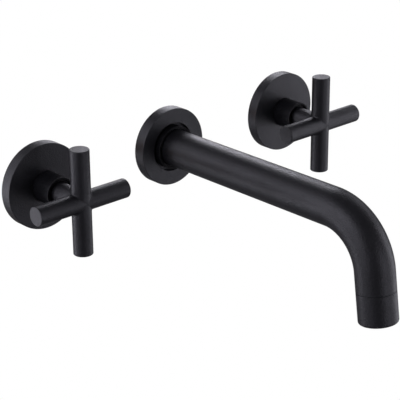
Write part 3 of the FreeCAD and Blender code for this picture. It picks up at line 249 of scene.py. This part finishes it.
def crossed_bars(name, across, out, half_span):
    """Two equal round bars that cross at right angles, as four arms that meet in mitred creases.

    On one arm, along = crease + share * (length - crease), where crease = radius * |sin(turn)| is where
    the two bars meet; the point is (along, radius * sin(turn), radius * cos(turn)).
    Near the crease it moves outwards by softness / 4 * closeness squared * (1 - cosine of the angle
    between the two bars' surfaces), which fills the corner like braze and leaves the crossing's crown."""
    end_run = 2
    end, end_edges = soft_outline([(BAR_RADIUS, half_span - end_run, 0),
                                   (BAR_RADIUS, half_span, BREAK_EDGE), (0, half_span, 0)])
    start = end[1, 1]
    turn = np.linspace(0, 2 * math.pi, BAR_TURNS, endpoint=False)[None, :]
    crease = BAR_RADIUS * np.abs(np.sin(turn))
    share = np.linspace(0, 1, BAR_ROWS, endpoint=False)[:, None] ** BAR_CROWDING
    along = np.vstack([crease + share * (start - crease), np.repeat(end[1:, 1:], BAR_TURNS, 1)])
    radius = np.vstack([np.full((BAR_ROWS, 1), BAR_RADIUS), end[1:, :1]])
    edges = np.concatenate([np.zeros(BAR_ROWS), end_edges[1:]])
    arm = np.stack([along, radius * np.sin(turn), radius * np.cos(turn)], -1)
    own = arm * [0, 1, 1]
    other = arm * [1, 0, 1]
    tiny = 1e-9
    own_length = np.maximum(np.linalg.norm(own, axis=-1, keepdims=True), tiny)
    other_length = np.maximum(np.linalg.norm(other, axis=-1, keepdims=True), tiny)
    own, other = own / own_length, other / other_length
    close = np.clip(1 - np.abs(other_length - BAR_RADIUS) / CREASE_SOFTNESS, 0, 1)
    angle = 1 - np.sum(own * other, -1, keepdims=True)
    lean = (1 - close / 2) * own + close / 2 * other
    lean = lean / np.maximum(np.sum(lean ** 2, -1, keepdims=True), tiny)
    arm = arm + CREASE_SOFTNESS / 4 * close ** 2 * angle * lean
    faces = shell_faces(len(arm), BAR_TURNS, False)
    arms, all_faces = [], []
    for quarter, (cosine, sine) in enumerate(((1, 0), (0, 1), (-1, 0), (0, -1))):
        aside = cosine * arm[..., 0] - sine * arm[..., 1]
        above = sine * arm[..., 0] + cosine * arm[..., 1]
        all_faces.append(faces + quarter * aside.size)
        arms.append(np.stack([aside, -arm[..., 2], above], -1).reshape(-1, 3))
    points = np.vstack(arms) * MM + np.array([across, -out, 0])
    return make_piece(name, points, np.vstack(all_faces), np.tile(np.repeat(edges, BAR_TURNS), 4))


# ---------------------------------------------------------------- shared finish effects

def new_group(name, inputs, outputs):
    """An empty shader node group with named inputs (kind, default) and float outputs."""
    group = bpy.data.node_groups.new(name, "ShaderNodeTree")
    for socket, (kind, value) in inputs.items():
        made = group.interface.new_socket(name=socket, in_out="INPUT", socket_type="NodeSocket" + kind)
        if value is not None:
            made.default_value = value
    for socket in outputs:
        group.interface.new_socket(name=socket, in_out="OUTPUT", socket_type="NodeSocketFloat")
    return group, group.nodes.new("NodeGroupInput"), group.nodes.new("NodeGroupOutput")


def add_node(tree, kind, settings=(), **inputs):
    """Adds a node; inputs are set to a value or linked if they are sockets."""
    node = tree.nodes.new(kind)
    for setting, value in dict(settings).items():
        setattr(node, setting, value)
    for socket, value in inputs.items():
        connect(tree, node.inputs[socket.replace("_", " ")], value)
    return node


def connect(tree, socket, value):
    if isinstance(value, bpy.types.NodeSocket):
        tree.links.new(value, socket)
    else:
        socket.default_value = value


def sums(tree, operation, *values):
    node = tree.nodes.new("ShaderNodeMath")
    node.operation = operation
    for socket, value in zip(node.inputs, values):
        connect(tree, socket, value)
    return node.outputs[0]


def stretch(tree, value, low, high, to_low=0.0, to_high=1.0):
    node = add_node(tree, "ShaderNodeMapRange", {"clamp": True}, Value=value, From_Min=low, From_Max=high,
                    To_Min=to_low, To_Max=to_high)
    return node.outputs[0]


def noise(tree, vector, scale, detail=2.0, roughness=0.5):
    node = add_node(tree, "ShaderNodeTexNoise", Vector=vector, Detail=detail, Roughness=roughness)
    connect(tree, node.inputs["Scale"], scale)
    return node.outputs["Fac"]


def coat_grain_group():
    """Fine orange-peel texture of a sprayed or plated skin, with slow patches of tone over it."""
    inputs = {"Vector": ("Vector", None), "Grain per metre": ("Float", 2600.0),
              "Patches per metre": ("Float", 60.0)}
    tree, given, out = new_group("coat_grain", inputs, ["Tone", "Height"])
    grain_share = 0.45
    grain = noise(tree, given.outputs["Vector"], given.outputs["Grain per metre"], 3.0, 0.55)
    patches = noise(tree, given.outputs["Vector"], given.outputs["Patches per metre"], 2.0, 0.5)
    tone = sums(tree, "ADD", sums(tree, "MULTIPLY", grain, grain_share),
                sums(tree, "MULTIPLY", patches, 1 - grain_share))
    tree.links.new(tone, out.inputs["Tone"])
    tree.links.new(grain, out.inputs["Height"])
    return tree


def edge_wear_and_highlight_group():
    """Where hands and cloths have rubbed the outer edges, and where a painted highlight runs along them: the
    edge share broken up by noise.
    """
    inputs = {"Vector": ("Vector", None), "Edge": ("Float", 0.0), "Amount": ("Float", 0.5)}
    tree, given, out = new_group("edge_wear_and_highlight", inputs, ["Rub"])
    breaks_per_metre, least_share = 420.0, 0.4
    broken = stretch(tree, noise(tree, given.outputs["Vector"], breaks_per_metre, 4.0, 0.6), 0.35, 0.7)
    share = sums(tree, "ADD", sums(tree, "MULTIPLY", broken, 1 - least_share), least_share)
    edge = sums(tree, "MULTIPLY", given.outputs["Edge"], share)
    tree.links.new(sums(tree, "MULTIPLY", edge, given.outputs["Amount"]), out.inputs["Rub"])
    return tree


def tool_marks_group():
    """Fine marks left by a lathe tool or a drawing die: uneven steps along one direction."""
    inputs = {"Vector": ("Vector", None), "Direction": ("Vector", (0.0, 1.0, 0.0)),
              "Marks per metre": ("Float", 2200.0)}
    tree, given, out = new_group("tool_marks", inputs, ["Tone", "Height"])
    dull_patches_per_metre = 90.0
    along = add_node(tree, "ShaderNodeVectorMath", {"operation": "DOT_PRODUCT"})
    tree.links.new(given.outputs["Vector"], along.inputs[0])
    tree.links.new(given.outputs["Direction"], along.inputs[1])
    steps = add_node(tree, "ShaderNodeTexNoise", {"noise_dimensions": "1D"}, Detail=2.0, Roughness=0.7)
    tree.links.new(along.outputs["Value"], steps.inputs["W"])
    tree.links.new(given.outputs["Marks per metre"], steps.inputs["Scale"])
    dulling = noise(tree, given.outputs["Vector"], dull_patches_per_metre, 3.0, 0.6)
    tone = sums(tree, "MULTIPLY", sums(tree, "ADD", steps.outputs["Fac"], dulling), 0.5)
    tree.links.new(tone, out.inputs["Tone"])
    tree.links.new(steps.outputs["Fac"], out.inputs["Height"])
    return tree


COAT_GRAIN = coat_grain_group()
EDGE_WEAR_AND_HIGHLIGHT = edge_wear_and_highlight_group()
TOOL_MARKS = tool_marks_group()


# ---------------------------------------------------------------- finishes

def new_finish(name):
    """A material with only its shader and output, and the object's own coordinates."""
    material = bpy.data.materials.new(name)
    material.use_nodes = True
    tree = material.node_tree
    tree.nodes.clear()
    shader = tree.nodes.new("ShaderNodeBsdfPrincipled")
    output = tree.nodes.new("ShaderNodeOutputMaterial")
    tree.links.new(shader.outputs["BSDF"], output.inputs["Surface"])
    place = tree.nodes.new("ShaderNodeTexCoord").outputs["Object"]
    return material, tree, shader, place


def put_group(tree, group, place, **inputs):
    node = tree.nodes.new("ShaderNodeGroup")
    node.node_tree = group
    tree.links.new(place, node.inputs["Vector"])
    for socket, value in inputs.items():
        connect(tree, node.inputs[socket.replace("_", " ")], value)
    return node


def two_tones(tree, share, dark, light):
    """A colour between dark and light by the share."""
    node = add_node(tree, "ShaderNodeMix", {"data_type": "RGBA"})
    connect(tree, node.inputs[0], share)
    node.inputs[6].default_value = (*dark, 1)
    node.inputs[7].default_value = (*light, 1)
    return node


def raise_skin(tree, shader, height, strength, distance):
    bump = add_node(tree, "ShaderNodeBump", Strength=strength, Distance=distance, Height=height)
    tree.links.new(bump.outputs["Normal"], shader.inputs["Normal"])


def black_coat(name, smooth, rough, wear_and_highlight_amount, gloss):
    """Black powder coat over brass: fine pale flecks, slow patches, and outer edges that are lighter and
    smoother, partly from wear and partly as a painted highlight.

    gloss is the shader's specular level: 0.5 for the satin coat, less for the copy that paints shade on rings
    in shade."""
    material, tree, shader, place = new_finish(name)
    shader.inputs["Specular IOR Level"].default_value = gloss
    grain = put_group(tree, COAT_GRAIN, place, Grain_per_metre=1300.0, Patches_per_metre=70.0)
    edge = tree.nodes.new("ShaderNodeAttribute")
    edge.attribute_name = "outer_edge"
    wear_and_highlight = put_group(tree, EDGE_WEAR_AND_HIGHLIGHT, place, Edge=edge.outputs["Fac"], Amount=wear_and_highlight_amount)
    coat = two_tones(tree, stretch(tree, grain.outputs["Tone"], 0.3, 0.7), (0.003, 0.003, 0.004),
                     (0.012, 0.012, 0.0145))
    # Lighter outer edges: partly wear, partly a painted highlight along the rims.
    worn_and_highlit = two_tones(tree, wear_and_highlight.outputs["Rub"], (0, 0, 0), (0.075, 0.073, 0.072))
    tree.links.new(coat.outputs[2], worn_and_highlit.inputs[6])
    tree.links.new(worn_and_highlit.outputs[2], shader.inputs["Base Color"])
    satin = stretch(tree, grain.outputs["Tone"], 0.3, 0.7, rough, smooth)
    tree.links.new(sums(tree, "SUBTRACT", satin, sums(tree, "MULTIPLY", wear_and_highlight.outputs["Rub"], 0.08)),
                   shader.inputs["Roughness"])
    shader.inputs["Specular Tint"].default_value = COOL_GLOSS
    raise_skin(tree, shader, grain.outputs["Height"], 0.8, 0.00028)
    return material


def turned_metal(name, dark, light, smooth, rough, direction, marks, metallic=1.0):
    """Bar metal with tool marks across one direction and dull patches."""
    material, tree, shader, place = new_finish(name)
    marked = put_group(tree, TOOL_MARKS, place, Direction=direction, Marks_per_metre=marks)
    tone = stretch(tree, marked.outputs["Tone"], 0.35, 0.65)
    tree.links.new(two_tones(tree, tone, dark, light).outputs[2], shader.inputs["Base Color"])
    shader.inputs["Metallic"].default_value = metallic
    tree.links.new(stretch(tree, marked.outputs["Tone"], 0.35, 0.65, rough, smooth), shader.inputs["Roughness"])
    raise_skin(tree, shader, marked.outputs["Height"], 0.35, 0.00006)
    return material


def grained_skin(name, dark, light, smooth, rough, grains, patches, strength, depth, metallic):
    """A cast, moulded or pressed skin: grain, patches of tone and a matching unevenness."""
    material, tree, shader, place = new_finish(name)
    grain = put_group(tree, COAT_GRAIN, place, Grain_per_metre=grains, Patches_per_metre=patches)
    tone = stretch(tree, grain.outputs["Tone"], 0.32, 0.68)
    tree.links.new(two_tones(tree, tone, dark, light).outputs[2], shader.inputs["Base Color"])
    shader.inputs["Metallic"].default_value = metallic
    tree.links.new(stretch(tree, grain.outputs["Tone"], 0.32, 0.68, rough, smooth), shader.inputs["Roughness"])
    raise_skin(tree, shader, grain.outputs["Height"], strength, depth)
    return material


COOL_GLOSS = (0.95, 0.94, 1.0, 1.0)
# Directions that tool marks follow one another in
OUT_OF_WALL = (0.0, 1.0, 0.0)
ACROSS_PIPE = (0.0, 0.6, 0.8)
FINISHES = {
    "black_finish": black_coat("satin_black_coat", 0.32, 0.42, 0.4, 0.5),
    "turned_brass": turned_metal("turned_brass_bar", (0.56, 0.38, 0.16), (0.78, 0.58, 0.29), 0.2, 0.36,
                                 OUT_OF_WALL, 2600.0),
    "cast_brass": grained_skin("sand_cast_brass", (0.42, 0.29, 0.13), (0.66, 0.48, 0.24), 0.38, 0.62,
                               1500.0, 60.0, 0.6, 0.00022, 0.9),
    "copper_pipe": turned_metal("drawn_copper", (0.58, 0.27, 0.17), (0.82, 0.46, 0.31), 0.24, 0.42,
                                ACROSS_PIPE, 900.0),
    "screw_steel": turned_metal("stainless_screw", (0.3, 0.3, 0.31), (0.5, 0.5, 0.51), 0.24, 0.4,
                                OUT_OF_WALL, 3200.0),
    "plate_steel": grained_skin("galvanised_sheet", (0.5, 0.52, 0.54), (0.7, 0.71, 0.72), 0.36, 0.52,
                                900.0, 150.0, 0.25, 0.00008, 0.9),
    "seal_rubber": grained_skin("matt_rubber", (0.018, 0.018, 0.018), (0.034, 0.034, 0.034), 0.62, 0.82,
                                3000.0, 120.0, 0.4, 0.00006, 0.0),
    "disc_ceramic": grained_skin("lapped_alumina", (0.84, 0.83, 0.79), (0.92, 0.91, 0.88), 0.18, 0.3,
                                 5000.0, 200.0, 0.1, 0.00003, 0.0),
    "aerator_plastic": grained_skin("moulded_acetal", (0.48, 0.49, 0.5), (0.6, 0.61, 0.62), 0.42, 0.56,
                                    2400.0, 160.0, 0.25, 0.00005, 0.0),
}

# A duller copy of the coat, with a lower specular level, paints shade on the rings that stand in the handles'
# and the spout's shade; its strong edge lightening paints a highlight on their rims
SHADED_COAT = black_coat("shaded_black_coat", 0.4, 0.52, 0.8, 0.18)

# The ends of the CAD nodes' names, by finish
NODE_FINISHES = {
    "black_finish": ("_flange", "_sleeve", "_handle", "spout_tube", "spout_collar", "aerator_cap"),
    "turned_brass": ("drive_insert", "_stem", "_cartridge", "_nuts", "_olives", "_nipple", "_socket",
                     "_fitting"),
    "cast_brass": ("valve_body", "spout_tee"),
    "copper_pipe": ("crossover_pipe",),
    "screw_steel": ("_screw", "_screws", "_clip"),
    "plate_steel": ("mounting_plate",),
    "seal_rubber": ("_gasket", "_seal", "_seals", "_washer"),
    "disc_ceramic": ("_disc",),
    "aerator_plastic": ("flow_straightener",),
}


def finish_cad_nodes():
    for name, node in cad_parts.items():
        finish = next(slot for slot, endings in NODE_FINISHES.items() if name.endswith(endings))
        node.data.materials.clear()
        node.data.materials.append(FINISHES[finish])


def fit_trim(piece, body, node, finish=FINISHES["black_finish"]):
    """A black piece of trim: it moves with the body and stands for the CAD node."""
    piece.data.materials.append(finish)
    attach(piece, body)
    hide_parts(node)


# ---------------------------------------------------------------- trim

def gasket_groove(edge):
    """Corners of the gasket groove in a flange's back, from the outside inwards."""
    outer, inner, depth = edge - 1.2, edge - 3.2, 1.5
    return [(outer, 0, CRISP), (outer, depth, CRISP), (inner, depth, CRISP), (inner, 0, CRISP)]


def handle_flange(side, across):
    low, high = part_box(side + "_flange")
    edge, front = (high.x - low.x) / 2 / MM, -low.y / MM
    bore, groove, boss = 9.75, 11.4, 13.5
    boss_back, seal_start, seal_end = 1.5, 3, 5.2
    inside, plate_back = edge - FLANGE_RIM, front - FLANGE_PLATE
    corners = [(bore, boss_back, CRISP), (bore, seal_start, CRISP), (groove, seal_start, CRISP),
               (groove, seal_end, CRISP), (bore, seal_end, CRISP), (bore, front, FINE_EDGE),
               (edge, front, EASED_EDGE), (edge, 0, CRISP)]
    corners += gasket_groove(edge)
    corners += [(inside, 0, CRISP), (inside, plate_back, CAST_EDGE), (boss, plate_back, CAST_EDGE),
                (boss, boss_back, CRISP)]
    fit_trim(turned(side + "_wall_flange", corners, out_of_wall(across)), "faucet", side + "_flange")


def handle_sleeve(side, across):
    low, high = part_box(side + "_sleeve")
    wall, root, end = (high.x - low.x) / 2 / MM, -high.y / MM, -low.y / MM
    thread, mouth, shoulder = 7.1, 8.5, 6
    lip, lip_front, lip_back = 6.85, end - 1.2, end - 2.2
    corners = [(thread, root, CRISP), (wall, root, CRISP), (wall, end, EASED_EDGE), (mouth, end, FINE_EDGE),
               (mouth, lip_front, CRISP), (lip, lip_front, FINE_EDGE), (lip, lip_back, FINE_EDGE),
               (mouth, lip_back, CRISP), (mouth, shoulder, CRISP), (thread, shoulder, CRISP)]
    sleeve = turned(side + "_stem_sleeve", corners, out_of_wall(across))
    # The sleeve takes the duller copy of the coat: painted shade, and a painted highlight on its rim.
    fit_trim(sleeve, "faucet", side + "_sleeve", SHADED_COAT)


def cross_handle(side, across):
    low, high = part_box(side + "_handle")
    hub_back, half_span = -high.y / MM, (high.x - low.x) / 2 / MM
    out = -low.y - BAR_RADIUS * MM
    body = side + "_handle"
    fit_trim(crossed_bars(side + "_cross_bars", across, out, half_span), body, side + "_handle")
    inside, bore_end = hub_back + HUB_INSIDE, hub_back + HUB_BORE_DEPTH
    near_screw = rows_near(HUB_RADIUS, HANDLE_SCREW_OUT, 3, 30)
    corners = [(0, inside, 0), (0, bore_end, 0), (HUB_BORE, bore_end, CRISP), (HUB_BORE, hub_back, CRISP),
               (HUB_RADIUS, hub_back, EASED_EDGE)] + near_screw + [(HUB_RADIUS, inside, CRISP)]
    hole = (HANDLE_SCREW_OUT, HANDLE_SCREW_RADIUS, HANDLE_SCREW_SINK)
    hub = turned(side + "_handle_hub", corners, out_of_wall(across), screw_hole=hole)
    fit_trim(hub, body, side + "_handle")


def spout():
    """The bent tube, with its screw recess underneath, and the flush end cap beyond a hairline seam."""
    tip = SEAM_ALONG - SEAM / 2
    near_screw = rows_near(TUBE_RADIUS, SPOUT_SCREW_OUT, 4, 32)
    corners = [(TUBE_BORE, TUBE_ROOT, CRISP), (TUBE_RADIUS, TUBE_ROOT, CRISP)] + near_screw
    corners += [(TUBE_RADIUS, tip, HAIR_EDGE), (TUBE_BORE, tip, CRISP)]
    hole = (SPOUT_SCREW_OUT, SPOUT_SCREW_RADIUS, SPOUT_SCREW_SINK)
    fit_trim(turned("bent_spout", corners, spout_line, step=1.5, screw_hole=hole), "faucet", "spout_tube")

    start, end = SEAM_ALONG + SEAM / 2, SEAM_ALONG + CAP_LENGTH
    opening, thread, spigot = 9.8, 11.0, 11.4
    lip_back, spigot_end, spigot_edge = end - 2, start - 0.2, 0.05
    corners = [(thread, spigot_end, spigot_edge), (spigot, spigot_end, spigot_edge), (spigot, start, 0),
               (TUBE_RADIUS, start, HAIR_EDGE), (TUBE_RADIUS, end, TIP_EDGE), (opening, end, EASED_EDGE),
               (opening, lip_back, CRISP), (thread, lip_back, CRISP)]
    fit_trim(turned("spout_end_cap", corners, spout_line, step=1.5), "faucet", "aerator_cap")


def spout_flange():
    low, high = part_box("spout_flange")
    edge, front = (high.x - low.x) / 2 / MM, -low.y / MM
    bore, recess, floor, recess_edge = 12.2, 16.05, front - 3.5, 0.25
    inside, plate_back = edge - FLANGE_RIM, floor - 2
    corners = [(bore, plate_back, CRISP), (bore, floor, CRISP), (recess, floor, FINE_EDGE),
               (recess, front, recess_edge), (edge, front, EASED_EDGE), (edge, 0, CRISP)]
    corners += gasket_groove(edge)
    corners += [(inside, 0, CRISP), (inside, plate_back, CAST_EDGE)]
    fit_trim(turned("spout_wall_flange", corners, out_of_wall(0.0)), "faucet", "spout_flange")


def spout_collar():
    low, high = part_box("spout_collar")
    outer, back, front = (high.x - low.x) / 2 / MM, -high.y / MM, -low.y / MM
    bore, mouth, groove, land = 12.05, 13.0, 13.4, 0.36
    ring_outer, ring_inner, ring_floor = outer - land, mouth + land, front - 1
    mouth_floor, seal_front, seal_back = front - 1.8, back + 3, back + 1.4
    corners = [(bore, back, CRISP), (outer, back, CRISP), (outer, front, CRISP), (ring_outer, front, HAIR_EDGE),
               (ring_outer, ring_floor, HAIR_EDGE), (ring_inner, ring_floor, HAIR_EDGE),
               (ring_inner, front, HAIR_EDGE), (mouth, front, CRISP), (mouth, mouth_floor, CRISP),
               (bore, mouth_floor, CRISP), (bore, seal_front, CRISP), (groove, seal_front, CRISP),
               (groove, seal_back, CRISP), (bore, seal_back, CRISP)]
    collar = turned("spout_clamp_collar", corners, out_of_wall(0.0))
    # The collar takes the duller copy of the coat: painted shade, and a painted highlight on its rims.
    fit_trim(collar, "faucet", "spout_collar", SHADED_COAT)


finish_cad_nodes()
for side in ("hot", "cold"):
    low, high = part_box(side + "_flange")
    across = (low.x + high.x) / 2
    handle_flange(side, across)
    handle_sleeve(side, across)
    cross_handle(side, across)
spout_flange()
spout_collar()
spout()


# ---------------------------------------------------------------- studio

def stage_sheet(name, corner, across, up, material):
    """A flat stage sheet: corner + u * across + v * up, facing across x up."""
    u, v = np.meshgrid([0, 1], [0, 1], indexing="ij")
    points = np.array(corner) + u.reshape(-1, 1) * np.array(across) + v.reshape(-1, 1) * np.array(up)
    mesh = bpy.data.meshes.new(name)
    mesh.from_pydata(points.tolist(), [], [(0, 2, 3, 1)])
    mesh.materials.append(material)
    sheet = bpy.data.objects.new(name, mesh)
    bpy.context.scene.collection.objects.link(sheet)
    sheet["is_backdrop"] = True
    sheet.visible_shadow = False
    sheet.visible_diffuse = False
    sheet.visible_glossy = False


def stage_paint(name):
    """Stage paint that shows as even white from in front and isn't seen from behind."""
    material = bpy.data.materials.new(name)
    material.use_nodes = True
    tree = material.node_tree
    tree.nodes.clear()
    paint = add_node(tree, "ShaderNodeEmission", Color=(1, 1, 1, 1), Strength=1.0)
    mix = tree.nodes.new("ShaderNodeMixShader")
    tree.links.new(tree.nodes.new("ShaderNodeNewGeometry").outputs["Backfacing"], mix.inputs[0])
    tree.links.new(paint.outputs[0], mix.inputs[1])
    tree.links.new(tree.nodes.new("ShaderNodeBsdfTransparent").outputs[0], mix.inputs[2])
    output = tree.nodes.new("ShaderNodeOutputMaterial")
    tree.links.new(mix.outputs[0], output.inputs["Surface"])
    return material


def studio_light(name, place, aim, width, height, brightness):
    """A rectangular soft box at place, turned to aim, and out of the camera's sight.

    Its power is pi * brightness * width * height."""
    light = bpy.data.lights.new(name, "AREA")
    light.shape = "RECTANGLE"
    light.size, light.size_y = width, height
    light.energy = math.pi * brightness * width * height
    light.color = LIGHT_COLOUR
    box = bpy.data.objects.new(name, light)
    box.location = place
    box.rotation_euler = (Vector(aim) - Vector(place)).to_track_quat("-Z", "Y").to_euler()
    box.visible_camera = False
    bpy.context.scene.collection.objects.link(box)


def studio_world():
    """Even white to the eye; a dim grey room for the light that reaches the faucet."""
    world = bpy.data.worlds.new("studio")
    bpy.context.scene.world = world
    world.use_nodes = True
    tree = world.node_tree
    tree.nodes.clear()
    path = tree.nodes.new("ShaderNodeLightPath")
    white = add_node(tree, "ShaderNodeBackground", Color=(1, 1, 1, 1), Strength=1.0)
    room = add_node(tree, "ShaderNodeBackground", Color=(*LIGHT_COLOUR, 1), Strength=ROOM_LIGHT)
    mix = tree.nodes.new("ShaderNodeMixShader")
    output = tree.nodes.new("ShaderNodeOutputWorld")
    tree.links.new(path.outputs["Is Camera Ray"], mix.inputs[0])
    tree.links.new(room.outputs[0], mix.inputs[1])
    tree.links.new(white.outputs[0], mix.inputs[2])
    tree.links.new(mix.outputs[0], output.inputs["Surface"])


def camera():
    """Looks at the faucet from its left and above; back points from the aim to the camera."""
    azimuth, elevation, roll = math.radians(-42.1), math.radians(22.1), math.radians(-0.5)
    aim, distance = Vector((-0.0212, -0.0567, -0.0168)), 0.892
    back = Vector((math.sin(azimuth) * math.cos(elevation), -math.cos(azimuth) * math.cos(elevation),
                   math.sin(elevation)))
    level = Vector((math.cos(azimuth), math.sin(azimuth), 0))
    up = back.cross(level)
    right = math.cos(roll) * level + math.sin(roll) * up
    top = math.cos(roll) * up - math.sin(roll) * level
    lens = bpy.data.cameras.new("studio_camera")
    lens.lens = 130
    lens.sensor_width = 36
    lens.clip_start, lens.clip_end = 0.01, 20
    made = bpy.data.objects.new("studio_camera", lens)
    turn = Matrix((right, top, back)).transposed().to_4x4()
    made.matrix_world = Matrix.Translation(aim + back * distance) @ turn
    bpy.context.scene.collection.objects.link(made)
    bpy.context.scene.camera = made


ROOM_LIGHT = 0.16
LIGHT_COLOUR = (0.93, 0.92, 1.0)
MIDDLE = (0.0, -0.08, 0.0)
ROOTS = (0.0, -0.03, 0.0)
# How bright a soft box's face is, in watts per square metre and steradian
FULL, HALF, FAINT, STRIP = 2.2, 1.1, 0.5, 6.0

# name, place, aim, width, height, brightness
SOFT_BOXES = (
    ("top_back_left_box", (-0.35, 0.45, 0.45), ROOTS, 0.4, 0.3, HALF),
    ("back_left_box", (-0.75, 0.55, 0.05), MIDDLE, 0.5, 0.9, FULL),
    ("back_left_low_box", (-0.6, 0.6, -0.35), ROOTS, 0.5, 0.4, HALF),
    ("left_box", (-0.95, -0.1, 0.1), MIDDLE, 0.5, 0.9, HALF),
    ("left_high_box", (-0.8, 0.0, 0.5), MIDDLE, 0.5, 0.4, FULL),
    ("front_box", (0.1, -1.1, 0.0), MIDDLE, 0.3, 0.6, FULL),
    ("front_right_box", (0.6, -0.85, 0.0), MIDDLE, 0.3, 0.6, FAINT),
    ("front_low_box", (0.5, -0.9, -0.35), MIDDLE, 0.6, 0.5, FAINT),
    ("right_front_box", (0.85, -0.5, 0.1), MIDDLE, 0.4, 0.8, FULL),
    ("right_low_box", (0.9, -0.3, -0.45), MIDDLE, 0.5, 0.4, HALF),
    ("right_high_box", (0.8, 0.0, 0.5), MIDDLE, 0.4, 0.4, HALF),
    ("back_right_box", (0.5, 0.8, 0.1), MIDDLE, 0.4, 0.4, FAINT),
    ("back_right_high_box", (0.6, 0.6, 0.5), MIDDLE, 0.4, 0.4, FULL),
    ("streak_box", (0.35, 0.3, 0.28), ROOTS, 0.1, 0.1, FULL),
    ("streak_near_box", (0.3, 0.36, 0.14), ROOTS, 0.15, 0.12, FULL),
    ("streak_strip", (0.6, 0.55, 0.25), ROOTS, 0.2, 0.1, STRIP),
)

# The floor lies well below the faucet. The wall stands just behind the flanges' backs.
stage_sheet("studio_floor", (-3, -3, -0.32), (6, 0, 0), (0, 6, 0), stage_paint("floor_paint"))
stage_sheet("studio_wall", (-0.2, 0.0004, -0.12), (0.4, 0, 0), (0, 0, 0.24), stage_paint("wall_paint"))
studio_world()
for soft_box in SOFT_BOXES:
    studio_light(*soft_box)
camera()
bpy.context.scene.view_settings.view_transform = "Standard"

low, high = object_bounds()
